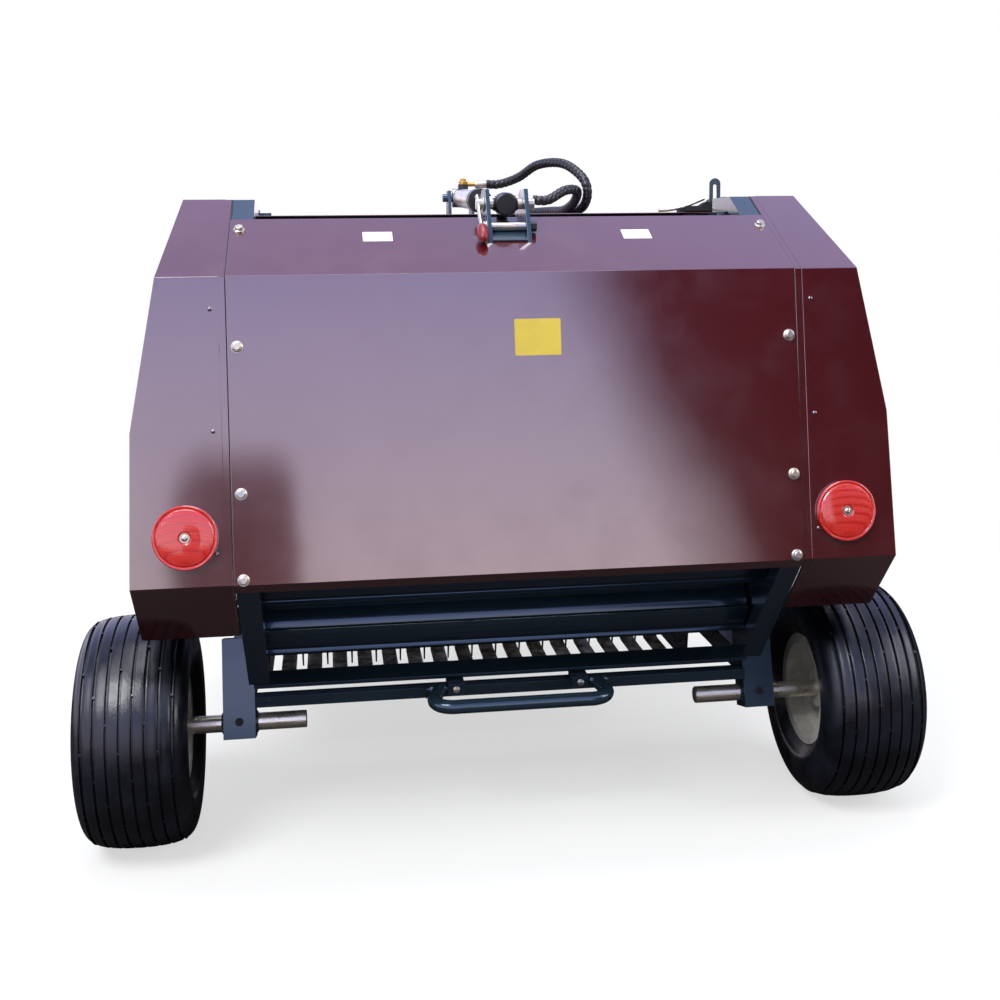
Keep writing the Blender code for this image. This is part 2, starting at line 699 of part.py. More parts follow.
def tailgate():
    """The rear half: walls in a bent tube frame, its panel, side covers, ears and reflectors."""
    pivot("tailgate", (0, HINGE_Y, HINGE_Z))
    gate_edge = SPLIT_Y - SWING_GAP / 2
    frame_path = [ARM_END, PANEL_FOOT, PANEL_KNEE, GATE_CREST,
                  (gate_edge - GATE_FRAME_END_BACK, GATE_CREST[1])]
    wall_edge = inset(frame_path, GATE_FRAME_DEPTH + SEAT_GAP)
    # The wall's lower corner is cut clear of the lowest front roller
    roller_y, roller_z = roller_centre(FRONT_ROLLER_ANGLES[-1])
    reach = ROLLER_RADIUS + GATE_CORNER_GAP
    turn = radians(GATE_CORNER_ANGLE)
    foot_y = roller_y + (reach - (GATE_WALL_FOOT_Z - roller_z) * sin(turn)) / cos(turn)
    corner_z = roller_z + (reach - (gate_edge - roller_y) * cos(turn)) / sin(turn)
    wall_outline = ([(foot_y, GATE_WALL_FOOT_Z)] + wall_edge
                    + [(gate_edge, wall_edge[-1][1]), (gate_edge, corner_z)])
    pin_hole = hole((HINGE_Y, HINGE_Z), HINGE_PIN_DIAMETER / 2 + SHAFT_PLAY, 16)
    eye_outline = arc((HINGE_Y, HINGE_Z), HINGE_EYE_RADIUS, 0, 330, 11)
    half = COVER_BRACKET_HEIGHT / 2
    bracket_paths = [[(gate_line_y(z - half), z - half), (gate_line_y(z + half), z + half)]
                     for z in COVER_BRACKET_HEIGHTS]
    bracket_paths.append([on_line(PANEL_KNEE, GATE_CREST, 2 * COVER_BRACKET_HEIGHT), GATE_CREST])
    for side, sign in both_sides():
        low, high = sorted((sign * WALL_INNER_X, sign * WALL_OUTER_X))
        wall = slab("gate_wall_" + side, [wall_outline] + wall_holes(GATE_ROLLER_ANGLES), low, high)
        eye = slab("gate_eye_" + side, [eye_outline], low, high)
        pin_way = slab("gate_pin_way_" + side, [pin_hole], low - WALL_THICKNESS, high + WALL_THICKNESS)
        combine(wall, (eye,))
        combine(wall, (pin_way,), "DIFFERENCE")
        piece(wall, "tailgate", "blue_grey_enamel")
        low, high = sorted((sign * GATE_FRAME_INNER_X, sign * GATE_FRAME_OUTER_X))
        frame = slab("gate_frame_" + side, [frame_path + inset(frame_path, GATE_FRAME_DEPTH)[::-1]], low, high)
        low, high = sorted((sign * (GATE_FRAME_OUTER_X - WELD_OVERLAP), sign * (COVER_INNER_X - SEAT_GAP)))
        brackets = [slab("cover_bracket_%s_%d" % (side, number),
                         [inset(path, 0.0004) + inset(path, COVER_BRACKET_DEPTH)[::-1]], low, high)
                    for number, path in enumerate(bracket_paths)]
        combine(frame, brackets)
        piece(frame, "tailgate", "blue_grey_enamel")
    panel()
    side_covers()
    ears()


def panel():
    """The folded rear panel, bolted over the frame."""
    top = on_line(PANEL_KNEE, GATE_CREST,
                  (PANEL_TOP_Y - PANEL_KNEE[0]) / (GATE_CREST[0] - PANEL_KNEE[0])
                  * hypot(GATE_CREST[0] - PANEL_KNEE[0], GATE_CREST[1] - PANEL_KNEE[1]))
    path = [on_line(PANEL_FOOT, ARM_END, PANEL_LIP), PANEL_FOOT, PANEL_KNEE, top]
    inner = inset(path, -SEAT_GAP)
    outer = inset(path, -SEAT_GAP - SHEET)
    sheet = slab("gate_panel", [inner + outer[::-1]], -PANEL_HALF_WIDTH, PANEL_HALF_WIDTH)
    piece(sheet, "tailgate", "maroon_enamel")


def cover_stations():
    """The side cover's outline, as (y, z, outer x), from its foot to its crest."""
    foot_y = (PANEL_FOOT[0] + (ARM_END[0] - PANEL_FOOT[0])
              * (PANEL_FOOT[1] - COVER_FOOT_Z) / (PANEL_FOOT[1] - ARM_END[1]))
    waist_share = (COVER_WAIST_Z - PANEL_FOOT[1]) / (PANEL_KNEE[1] - PANEL_FOOT[1])
    waist_y = PANEL_FOOT[0] + waist_share * (PANEL_KNEE[0] - PANEL_FOOT[0])
    return ((foot_y, COVER_FOOT_Z, COVER_FOOT_X), PANEL_FOOT + (COVER_FOOT_X,),
            (waist_y, COVER_WAIST_Z, COVER_WAIST_X), PANEL_KNEE + (COVER_KNEE_X,),
            GATE_CREST + (COVER_CREST_X,))


def side_covers():
    """Folded sheet covers over the chain drive, one at each side of the tailgate."""
    gate_edge = SPLIT_Y - SWING_GAP / 2
    for side, sign in both_sides():
        shape = bmesh.new()
        rows = []
        for y, z, outer_x in cover_stations():
            rows.append([shape.verts.new((sign * x, at_y, z)) for x, at_y in
                         ((COVER_INNER_X, y), (outer_x, y), (outer_x, gate_edge))])
        for first, second in zip(rows, rows[1:]):
            for left, right in ((0, 1), (1, 2)):
                shape.faces.new((first[left], first[right], second[right], second[left]))
        corner = shape.verts.new((sign * COVER_INNER_X, gate_edge, GATE_CREST[1]))
        shape.faces.new((rows[-1][0], rows[-1][1], rows[-1][2], corner))
        cover = from_bmesh("gate_cover_" + side, shape)
        solid = cover.modifiers.new("Sheet", "SOLIDIFY")
        solid.thickness = SHEET
        solid.offset = 0
        solid.use_even_offset = True
        piece(cover, "tailgate", "maroon_enamel")
        lean = atan2(PANEL_KNEE[0] - PANEL_FOOT[0], PANEL_KNEE[1] - PANEL_FOOT[1])
        normal = Vector((0, -cos(lean), sin(lean)))
        seat = Vector((sign * REFLECTOR_X, PANEL_FOOT[0] + (REFLECTOR_Z - PANEL_FOOT[1]) * sin(lean)
                       / cos(lean), REFLECTOR_Z)) + normal * (SHEET / 2 + SEAT_GAP)
        lens = rod_between("reflector_" + side, seat, seat + normal * REFLECTOR_THICKNESS,
                           REFLECTOR_DIAMETER / 2, 28)
        piece(lens, "tailgate", "reflector_red")


def ears():
    """The two ears that take the cylinder, on their cross tube."""
    lean = atan2(GATE_CREST[1] - PANEL_KNEE[1], GATE_CREST[0] - PANEL_KNEE[0])
    lift = (SHEET + 2 * SEAT_GAP) / cos(lean)

    def on_panel(y):
        return (y, PANEL_KNEE[1] + (y - PANEL_KNEE[0]) * sin(lean) / cos(lean) + lift)

    tube_front = inset([PANEL_KNEE, GATE_CREST], GATE_FRAME_DEPTH)[1][0] - EAR_TUBE_BACK
    cross = block("gate_cross_tube",
                  (-GATE_FRAME_INNER_X + SEAT_GAP, tube_front - EAR_TUBE_WIDTH, EAR_FOOT_Z - EAR_TUBE_HEIGHT),
                  (GATE_FRAME_INNER_X - SEAT_GAP, tube_front, EAR_FOOT_Z))
    behind_panel = PANEL_TOP_Y + 5 * SEAT_GAP
    foot_front, foot_top = tube_front - WELD_OVERLAP, EAR_FOOT_Z - 0.001
    outline = [on_panel(EAR_REAR_Y), on_panel(behind_panel), (behind_panel, foot_top), (foot_front, foot_top),
               (foot_front, EAR_FOOT_Z + EAR_FRONT_HEIGHT),
               (EAR_PIN_Y + EAR_HEAD_AHEAD, EAR_PIN_Z + EAR_HEAD_OVER),
               (EAR_PIN_Y - EAR_HEAD_BEHIND, EAR_PIN_Z + EAR_HEAD_OVER)]
    plates = [slab("ear_%d" % number, [outline], low, low + EAR_THICKNESS)
              for number, low in enumerate((-EAR_INNER_X - EAR_THICKNESS, EAR_INNER_X))]
    pins = [rod_between("ear_pin_" + side, (sign * (EAR_INNER_X + 0.001), EAR_PIN_Y, EAR_PIN_Z),
                        (sign * (EAR_INNER_X + EAR_PIN_END), EAR_PIN_Y, EAR_PIN_Z),
                        CYLINDER_PIN_DIAMETER / 2, 16) for side, sign in both_sides()]
    bolt_y, bolt_z = EAR_BOLT_PLACE
    ear_face = EAR_INNER_X + EAR_THICKNESS
    bolt = rod_between("ear_bolt", (-ear_face - EAR_BOLT_ENDS[0], bolt_y, bolt_z),
                       (ear_face + EAR_BOLT_ENDS[1], bolt_y, bolt_z), EAR_BOLT_DIAMETER / 2, 12)
    combine(cross, plates + pins + [bolt])
    piece(cross, "tailgate", "blue_grey_enamel")
    cross.name = "cylinder_ears"


def cylinder():
    """The tailgate's cylinder, pinned on the front half and in the ears."""
    ear = Vector((0, EAR_PIN_Y, EAR_PIN_Z))
    root = Vector((0, CYLINDER_PIN_Y, CYLINDER_PIN_Z))
    along = (ear - root).normalized()
    pivot("cylinder_barrel", root)
    pivot("cylinder_rod", ear)
    barrel_start = root + along * BARREL_START
    barrel_end = barrel_start + along * BARREL_LENGTH
    barrel = rod_between("cylinder_barrel", barrel_start, barrel_end, BARREL_DIAMETER / 2, 18)
    gland = rod_between("cylinder_gland", barrel_end - along * 0.002,
                        barrel_end + along * GLAND_LENGTH, GLAND_DIAMETER / 2, 18)
    side = Vector((BARREL_EYE_WIDTH / 2, 0, 0))
    eye = rod_between("barrel_eye", root - side, root + side, BARREL_EYE_DIAMETER / 2, 20)
    neck = rod_between("barrel_neck", root, barrel_start + along * WELD_OVERLAP, BARREL_NECK_DIAMETER / 2, 16)
    bore = rod_between("barrel_bore", root - 1.5 * side, root + 1.5 * side,
                       CYLINDER_PIN_DIAMETER / 2 + SHAFT_PLAY, 16)
    rod_way = rod_between("rod_way", barrel_start + along * BARREL_END_THICKNESS,
                          barrel_end + along * (GLAND_LENGTH + BARREL_END_THICKNESS),
                          ROD_DIAMETER / 2 + SHAFT_PLAY, 20)
    ports = []
    for number, (distance, lift, start, reach) in enumerate(PORTS):
        on_axis = barrel_start + along * distance
        head = on_axis + Vector((0, 0, lift))
        if lift:
            ports.append(rod_between("port_boss_%d" % number, on_axis + Vector((0, 0, lift * 0.3)),
                                     head + Vector((0, 0, PORT_BOSS_TOP)), PORT_BOSS_DIAMETER / 2, 12))
        ports.append(rod_between("port_%d" % number, head + Vector((start, 0, 0)),
                                 head + Vector((reach, 0, 0)), PORT_DIAMETER / 2, 12))
    combine(barrel, [gland, neck, eye] + ports)
    combine(barrel, (bore, rod_way), "DIFFERENCE")
    piece(barrel, "cylinder_barrel", "black_enamel")
    rod = rod_between("cylinder_rod", barrel_end - along * ROD_INSIDE, ear - along * ROD_DIAMETER * 0.6,
                      ROD_DIAMETER / 2, 14)
    ball = bmesh.new()
    bmesh.ops.create_uvsphere(ball, u_segments=16, v_segments=8, radius=ROD_HEAD_DIAMETER / 2)
    head = from_bmesh("rod_head", ball, ear)
    pin_reach = Vector((EAR_INNER_X - SHAFT_PLAY, 0, 0))
    pin = rod_between("rod_pin", ear - pin_reach, ear + pin_reach, CYLINDER_PIN_DIAMETER / 2, 16)
    combine(rod, (head, pin))
    piece(rod, "cylinder_rod", "black_enamel")
    cylinder_bracket(root)


def cylinder_bracket(root):
    """The two lugs and the pin that hold the barrel's eye, on a foot plate over the front half."""
    seat = TOP_Z + SHEET + SEAT_GAP
    lug = [(root.y - LUG_FOOT_BEHIND, seat + 0.001), (root.y + LUG_FOOT_AHEAD, seat + 0.001),
           (root.y + LUG_HEAD_AHEAD, root.z + LUG_HEAD_OVER),
           (root.y - LUG_HEAD_BEHIND, root.z + LUG_HEAD_OVER)]
    lug_low = BARREL_EYE_WIDTH / 2 + LUG_GAP
    plates = [slab("cylinder_lug_%d" % number, [lug], low, low + EAR_THICKNESS)
              for number, low in enumerate((-lug_low - EAR_THICKNESS, lug_low))]
    pin_reach = Vector((lug_low + EAR_THICKNESS + LUG_PIN_END, 0, 0))
    pin = rod_between("cylinder_pin", root - pin_reach, root + pin_reach, CYLINDER_PIN_DIAMETER / 2, 16)
    foot = block("cylinder_bracket", (-BRACKET_HALF_WIDTH, root.y - LUG_FOOT_BEHIND - 0.010, seat),
                 (BRACKET_HALF_WIDTH, root.y + LUG_FOOT_AHEAD + 0.005, seat + BRACKET_THICKNESS))
    combine(foot, plates + [pin])
    piece(foot, "machine", "blue_grey_enamel")


def hood_path():
    """The inner line of the front half's sheet, over the top and down the front."""
    return [(SPLIT_Y + 0.070, TOP_Z), (HOOD_CORNER_Y, TOP_Z), (FRONT_Y, HOOD_SHOULDER_Z),
            (FRONT_Y, HOOD_FOOT_Z)]


def front_walls():
    """The front half's walls, each with its hinge lug for the tailgate."""
    edge = SPLIT_Y + SWING_GAP / 2
    under_hood = inset(hood_path(), SEAT_GAP)
    notch_top = degrees(atan2(TOP_Z - SEAT_GAP - HINGE_Z, HINGE_NOTCH_RADIUS))
    notch = arc((HINGE_Y, HINGE_Z), HINGE_NOTCH_RADIUS, -81, notch_top, 8)
    bar_y = REEL_Y - BAND_BAR_BACK
    outline = ([(edge, WALL_FOOT_Z)] + notch + [(notch[-1][0], TOP_Z - SEAT_GAP)] + under_hood[1:3]
               + [(FRONT_Y - SEAT_GAP, WALL_FRONT_Z), (WALL_NOSE_Y, WALL_NOSE_Z),
                  (REEL_Y + PICKUP_WALL_AHEAD, PICKUP_WALL_FOOT),
                  (bar_y - BAND_BAR_DEPTH, PICKUP_WALL_FOOT + 0.001),
                  (bar_y - 2 * BAND_BAR_DEPTH, WALL_FOOT_Z + 0.003)])
    lug_outline = (arc((HINGE_Y, HINGE_Z), HINGE_LUG_RADIUS, 0, 215, 9)
                   + [(edge + 0.002, HINGE_Z - HINGE_LUG_DROP),
                      (HINGE_Y + HINGE_LUG_RADIUS - 0.0005, HINGE_Z - HINGE_LUG_DROP)])
    for side, sign in both_sides():
        low, high = sorted((sign * WALL_INNER_X, sign * WALL_OUTER_X))
        reel_hole = hole((REEL_Y, REEL_Z), REEL_SHAFT_DIAMETER / 2 + SHAFT_PLAY, 16)
        guard_hole = hole((GUARD_Y, GUARD_Z), GUARD_SHAFT_DIAMETER / 2 + SHAFT_PLAY)
        wall = slab("front_wall_" + side,
                    [outline, reel_hole, guard_hole] + wall_holes(FRONT_ROLLER_ANGLES), low, high)
        lug_outer = WALL_OUTER_X + 2 * SEAT_GAP + HINGE_LUG_THICKNESS
        low, high = sorted((sign * (WALL_OUTER_X + 2 * SEAT_GAP), sign * lug_outer))
        lug = slab("hinge_lug_" + side, [lug_outline], low, high)
        low, high = sorted((sign * (WALL_INNER_X + 0.001), sign * (WALL_OUTER_X + WELD_OVERLAP)))
        pad = block("hinge_pad_" + side, (low, edge + 0.003, HINGE_Z - HINGE_LUG_DROP + 0.002),
                    (high, HINGE_Y + HINGE_LUG_RADIUS - 0.002, HINGE_Z - HINGE_NOTCH_RADIUS - 0.004))
        low, high = sorted((sign * (WALL_INNER_X - 0.004), sign * (lug_outer + 0.004)))
        pin = rod_between("hinge_pin_" + side, (low, HINGE_Y, HINGE_Z), (high, HINGE_Y, HINGE_Z),
                          HINGE_PIN_DIAMETER / 2, 14)
        combine(lug, (pad, pin))
        combine(wall, (lug,))
        piece(wall, "machine", "blue_grey_enamel")
    tube_low = TOP_Z - SEAT_GAP - CROSS_TUBE_DEPTH
    cross = block("front_cross_tube",
                  (-WALL_INNER_X + SEAT_GAP, CYLINDER_PIN_Y - CROSS_TUBE_WIDTH / 2, tube_low),
                  (WALL_INNER_X - SEAT_GAP, CYLINDER_PIN_Y + CROSS_TUBE_WIDTH / 2, TOP_Z - SEAT_GAP))
    piece(cross, "machine", "blue_grey_enamel")


def hood():
    """The front half's top and front sheet."""
    path = hood_path()
    sheet = slab("front_hood", [path + inset(path, -SHEET)[::-1]], -HOOD_HALF_WIDTH, HOOD_HALF_WIDTH)
    piece(sheet, "machine", "maroon_enamel")


def side_doors():
    """Sheet doors over the front half's drives, hinged at their front edge."""
    rear = SPLIT_Y + SWING_GAP
    door_pin_y = FRONT_Y + DOOR_PIN_AHEAD
    front = FRONT_Y - DOOR_FRONT_BACK
    # Columns: z, outer x
    heights = ((COVER_FOOT_Z, COVER_FOOT_X), (COVER_WAIST_Z, COVER_WAIST_X),
               (PANEL_KNEE[1], COVER_KNEE_X), (DOOR_TOP_Z, DOOR_TOP_X))
    knuckle_radius = DOOR_PIN_DIAMETER / 2 + DOOR_KNUCKLE_WALL
    for side, sign in both_sides():
        body = "side_door_" + side
        pivot(body, (sign * DOOR_PIN_X, door_pin_y, COVER_WAIST_Z))
        shape = bmesh.new()
        rows = [[shape.verts.new((sign * x, y, z)) for y in (rear, front)] for z, x in heights]
        for first, second in zip(rows, rows[1:]):
            shape.faces.new((first[0], first[1], second[1], second[0]))
        door = from_bmesh("side_door_" + side, shape)
        solid = door.modifiers.new("Sheet", "SOLIDIFY")
        solid.thickness = SHEET
        solid.offset = 0
        solid.use_even_offset = True
        knuckles = []
        bores = []
        for z in DOOR_HINGE_HEIGHTS:
            foot = Vector((sign * DOOR_PIN_X, door_pin_y, z + SEAT_GAP))
            top = Vector((sign * DOOR_PIN_X, door_pin_y, z + DOOR_KNUCKLE_HEIGHT))
            past = Vector((0, 0, knuckle_radius))
            knuckles.append(rod_between("knuckle_" + side, foot, top, knuckle_radius, 12))
            low, high = sorted((sign * (DOOR_PIN_X + DOOR_PIN_DIAMETER / 2), sign * (COVER_FOOT_X + 0.0005)))
            knuckles.append(block("strap_" + side, (low, front - DOOR_STRAP_REACH, z + WELD_OVERLAP),
                                  (high, door_pin_y + WELD_OVERLAP, z + DOOR_KNUCKLE_HEIGHT - WELD_OVERLAP)))
            bores.append(rod_between("knuckle_bore_" + side, foot - past, top + past,
                                     DOOR_PIN_DIAMETER / 2 + 2 * SHAFT_PLAY, 12))
        combine(door, knuckles)
        combine(door, bores, "DIFFERENCE")
        piece(door, body, "maroon_enamel")


def door_posts():
    """The posts on the front beam that carry the side doors' pins."""
    pin_y = FRONT_Y + DOOR_PIN_AHEAD
    tools = []
    for side, sign in both_sides():
        low, high = sorted((sign * (HOOD_HALF_WIDTH + SEAT_GAP), sign * (HOOD_HALF_WIDTH + DOOR_POST_SIZE)))
        tools.append(block("door_post_" + side, (low, FRONT_Y + 0.001, FRONT_BEAM_Z),
                           (high, FRONT_Y + 0.001 + DOOR_POST_SIZE, DOOR_POST_TOP_Z)))
        for z in DOOR_HINGE_HEIGHTS:
            low, high = sorted((sign * (HOOD_HALF_WIDTH + DOOR_POST_SIZE / 2), sign * (DOOR_PIN_X + 0.010)))
            tools.append(block("door_lug_" + side, (low, pin_y - 0.0035, z - DOOR_LUG_THICKNESS),
                               (high, pin_y + DOOR_PIN_DIAMETER, z)))
            tools.append(rod_between("door_pin_" + side,
                                     (sign * DOOR_PIN_X, pin_y, z - DOOR_LUG_THICKNESS / 2),
                                     (sign * DOOR_PIN_X, pin_y, z + DOOR_KNUCKLE_HEIGHT + DOOR_PIN_OVER),
                                     DOOR_PIN_DIAMETER / 2, 12))
    return tools


def lower_frame():
    """Axle arms, stub axles and cross beams."""
    shaft = AXLE_DIAMETER / 2
    lean = Vector((0, sin(ARM_LEAN), cos(ARM_LEAN)))
    rail_low, rail_high = RAIL_Z - RAIL_HEIGHT / 2, RAIL_Z + RAIL_HEIGHT / 2
    beam_half = FRONT_BEAM_SIZE / 2
    drops = []
    for side, sign in both_sides():
        middle_x = sign * (ARM_INNER_X + ARM_TUBE_WIDTH / 2)
        foot = Vector((middle_x, AXLE_Y, AXLE_Z)) - lean * ARM_BELOW_AXLE
        arm = tube_between("axle_arm_" + side, foot, foot + lean * ARM_LENGTH, ARM_TUBE_WIDTH, ARM_TUBE_DEPTH)
        low, high = sorted((sign * ARM_INNER_X, sign * (ARM_INNER_X + ARM_TUBE_WIDTH)))
        rail = block("rail_" + side, (low + 0.0005, AXLE_Y + ARM_TUBE_DEPTH / 3, rail_low),
                     (high - 0.0005, FRONT_Y - SEAT_GAP, rail_high))
        drops.append(block("front_beam_drop_" + side, (low, FRONT_Y, rail_low),
                           (high, FRONT_Y + FRONT_BEAM_SIZE - 0.010, FRONT_BEAM_Z)))
        bore = rod_between("axle_bore_" + side, (low - 0.01, AXLE_Y, AXLE_Z),
                           (high + 0.01, AXLE_Y, AXLE_Z), shaft + SEAT_GAP, 20)
        combine(arm, (rail,))
        combine(arm, (bore,), "DIFFERENCE")
        piece(arm, "machine", "blue_grey_enamel")
        axle = rod_between("stub_axle_" + side, (sign * AXLE_INNER_END_X, AXLE_Y, AXLE_Z),
                           (sign * (WHEEL_TRACK / 2 + AXLE_PAST_WHEEL), AXLE_Y, AXLE_Z), shaft, 16)
        piece(axle, "machine", "bright_steel")
    rear_beams()
    beam = block("front_beam", (-FRONT_BEAM_REACH, FRONT_Y, FRONT_BEAM_Z - beam_half),
                 (FRONT_BEAM_REACH, FRONT_Y + FRONT_BEAM_SIZE, FRONT_BEAM_Z + beam_half))
    combine(beam, drops + door_posts())
    piece(beam, "machine", "blue_grey_enamel")


def rear_beams():
    """The folded angle and the box beam between the axle arms, with the rear bar's pins."""
    reach = ARM_INNER_X - SEAT_GAP
    fold_y, fold_z = ANGLE_BEAM_FOLD
    rear = (fold_y - ANGLE_BEAM_TOP_LEG, fold_z - ANGLE_BEAM_FALL)
    inside = (fold_y - ANGLE_BEAM_THICKNESS, fold_z - 1.25 * ANGLE_BEAM_THICKNESS)
    face = [rear, ANGLE_BEAM_FOLD, (fold_y, fold_z - ANGLE_BEAM_FRONT_LEG),
            (inside[0], fold_z - ANGLE_BEAM_FRONT_LEG), inside,
            (rear[0] + ANGLE_BEAM_THICKNESS / 4, rear[1] - ANGLE_BEAM_THICKNESS)]
    piece(slab("rear_angle_beam", [face], -reach, reach), "machine", "blue_grey_enamel")
    hinge_y, hinge_z = REAR_BAR_HINGE_Y, REAR_BAR_HINGE_Z
    box = block("rear_box_beam", (-reach, BOX_BEAM_Y[0], BOX_BEAM_Z[0]),
                (reach, BOX_BEAM_Y[1], BOX_BEAM_Z[1]))
    mounts = []
    half = REAR_BAR_BLOCK_SIZE / 2
    for side, sign in both_sides():
        low, high = sorted(REAR_BAR_MIDDLE_X + sign * x for x in REAR_BAR_BLOCK_X)
        mounts.append(block("rear_bar_block_" + side, (low, hinge_y - half, BOX_BEAM_Z[1] - 0.005),
                            (high, BOX_BEAM_Y[0] + 0.003, hinge_z + half - 0.0005)))
        low, high = sorted(REAR_BAR_MIDDLE_X + sign * x for x in
                           (REAR_BAR_BLOCK_X[1] - WELD_OVERLAP, REAR_BAR_HALF_WIDTH + half))
        mounts.append(rod_between("rear_bar_pin_" + side, (low, hinge_y, hinge_z), (high, hinge_y, hinge_z),
                                  REAR_BAR_PIN_DIAMETER / 2, 12))
    combine(box, mounts)
    piece(box, "machine", "blue_grey_enamel")


def drawbar():
    """The A-frame with its hitch eye, and the jack on it."""
    low_z, high_z = HITCH_Z - DRAWBAR_TUBE / 2, HITCH_Z + DRAWBAR_TUBE / 2
    legs = []
    for side, sign in both_sides():
        outline = [(sign * (DRAWBAR_SPREAD - DRAWBAR_TUBE / 2), DRAWBAR_START_Y),
                   (sign * (DRAWBAR_SPREAD + DRAWBAR_TUBE / 2), DRAWBAR_START_Y),
                   (sign * NECK_HALF_WIDTH, NECK_Y), (-sign * NECK_HALF_WIDTH * 0.27, NECK_Y)]
        legs.append(slab("drawbar_leg_" + side, [outline], low_z, high_z, "Z"))
    nose = block("drawbar_nose", (-NECK_HALF_WIDTH, NECK_Y - 0.05, low_z - 0.0001),
                 (NECK_HALF_WIDTH, NECK_Y + 0.02, high_z + 0.0001))
    eye_y = HITCH_Y - HITCH_RADIUS
    tongue_foot = 0.8 * HITCH_RADIUS
    tongue_outline = ([(-tongue_foot, NECK_Y - 0.02)]
                      + [(HITCH_RADIUS * sin(radians(a)), eye_y + HITCH_RADIUS * cos(radians(a)))
                         for a in range(-90, 91, 15)] + [(tongue_foot, NECK_Y - 0.02)])
    eye = arc((0, eye_y), HITCH_HOLE_DIAMETER / 2, 360, 20, 17)
    tongue = slab("hitch_tongue", [tongue_outline, eye], HITCH_Z - HITCH_THICKNESS / 2,
                  HITCH_Z + HITCH_THICKNESS / 2, "Z")
    tie_reach = drawbar_outer_x(DRAWBAR_TIE_Y) - DRAWBAR_TUBE / 3
    tie = block("drawbar_tie", (-tie_reach, DRAWBAR_TIE_Y - DRAWBAR_TIE_WIDTH / 2, low_z - 0.0002),
                (tie_reach, DRAWBAR_TIE_Y + DRAWBAR_TIE_WIDTH / 2, high_z + 0.0002))
    face = JACK_X - JACK_TUBE / 2 - SEAT_GAP
    half_width, half_height = JACK_PLATE_WIDTH / 2, JACK_PLATE_HEIGHT / 2
    jack_plate = block("jack_plate",
                       (face - JACK_PLATE_THICKNESS, JACK_Y - half_width, HITCH_Z - half_height),
                       (face, JACK_Y + half_width, HITCH_Z + half_height))
    gusset_low = (drawbar_outer_x(JACK_Y) - JACK_TUBE, JACK_Y - JACK_TUBE / 2, HITCH_Z - DRAWBAR_TUBE / 3)
    gusset = block("jack_gusset", gusset_low, (face - JACK_PLATE_THICKNESS / 2, JACK_Y + JACK_TUBE / 2,
                                               HITCH_Z + DRAWBAR_TUBE / 3))
    combine(legs[0], (legs[1], nose, tongue, tie, gusset, jack_plate))
    piece(legs[0], "machine", "blue_grey_enamel")
    legs[0].name = "drawbar"
    jack()


def jack():
    """The parking jack beside the drawbar: a fixed tube and the leg that slides in it."""
    low = JACK_TOP_Z - JACK_TUBE_LENGTH
    half = JACK_TUBE / 2
    outer = block("jack_tube", (JACK_X - half, JACK_Y - half, low),
                  (JACK_X + half, JACK_Y + half, JACK_TOP_Z))
    inside = JACK_LEG / 2 + SHAFT_PLAY
    way = block("jack_way", (JACK_X - inside, JACK_Y - inside, low - 0.01),
                (JACK_X + inside, JACK_Y + inside, JACK_TOP_Z - 0.010))
    combine(outer, (way,), "DIFFERENCE")
    piece(outer, "machine", "blue_grey_enamel")
    pivot("jack_leg", (JACK_X, JACK_Y, 0.0))
    leg_half = JACK_LEG / 2
    leg = block("jack_leg", (JACK_X - leg_half, JACK_Y - leg_half, JACK_FOOT_THICKNESS / 2),
                (JACK_X + leg_half, JACK_Y + leg_half, low + JACK_LEG_INSIDE))
    foot_half = JACK_FOOT / 2
    foot = block("jack_foot", (JACK_X - foot_half, JACK_Y - foot_half, 0.0),
                 (JACK_X + foot_half, JACK_Y + foot_half, JACK_FOOT_THICKNESS))
    combine(leg, (foot,))
    piece(leg, "jack_leg", "zinc_plate")


def gearbox():
    """The bevel gearbox on the front beam, its cross drive to the left and its input shaft."""
    base = BEAM_TOP_Z + SEAT_GAP
    axis_y, axis_z = FRONT_Y + GEARBOX_SHAFT_AHEAD, base + GEARBOX_HEIGHT / 2
    front_y = FRONT_Y + GEARBOX_BACK_GAP + GEARBOX_DEPTH
    box = block("gearbox", (-GEARBOX_HALF_WIDTH, FRONT_Y + GEARBOX_BACK_GAP, base),
                (GEARBOX_HALF_WIDTH, front_y, base + GEARBOX_HEIGHT))
    end_x = -ARM_INNER_X - ARM_TUBE_WIDTH / 2
    drive = rod_between("cross_drive", (end_x, axis_y, axis_z), (-GEARBOX_HALF_WIDTH + 0.010, axis_y, axis_z),
                        CROSS_DRIVE_DIAMETER / 2, 16)
    bearing_half = DRIVE_BEARING_SIZE / 2
    bearing = block("drive_bearing", (end_x - 0.006, axis_y - bearing_half, base),
                    (end_x + 0.006, axis_y + bearing_half, axis_z + bearing_half))
    nose = rod_between("gearbox_nose", (0, front_y - 0.010, axis_z),
                       (0, front_y + GEARBOX_NOSE_LENGTH, axis_z), GEARBOX_NOSE_DIAMETER / 2, 20)
    shaft_foot = front_y + PTO_FOOT_AHEAD
    bore = rod_between("gearbox_bore", (0, shaft_foot, axis_z),
                       (0, front_y + 1.5 * GEARBOX_NOSE_LENGTH, axis_z), PTO_DIAMETER / 2 + SHAFT_PLAY, 20)
    combine(box, (drive, bearing, nose))
    combine(box, (bore,), "DIFFERENCE")
    piece(box, "machine", "blue_grey_enamel")
    pivot("pto_shaft", (0, shaft_foot, axis_z))
    shaft = rod_between("pto_shaft", (0, shaft_foot + SEAT_GAP, axis_z), (0, shaft_foot + PTO_LENGTH, axis_z),
                        PTO_DIAMETER / 2, 18)
    piece(shaft, "pto_shaft", "bright_steel")


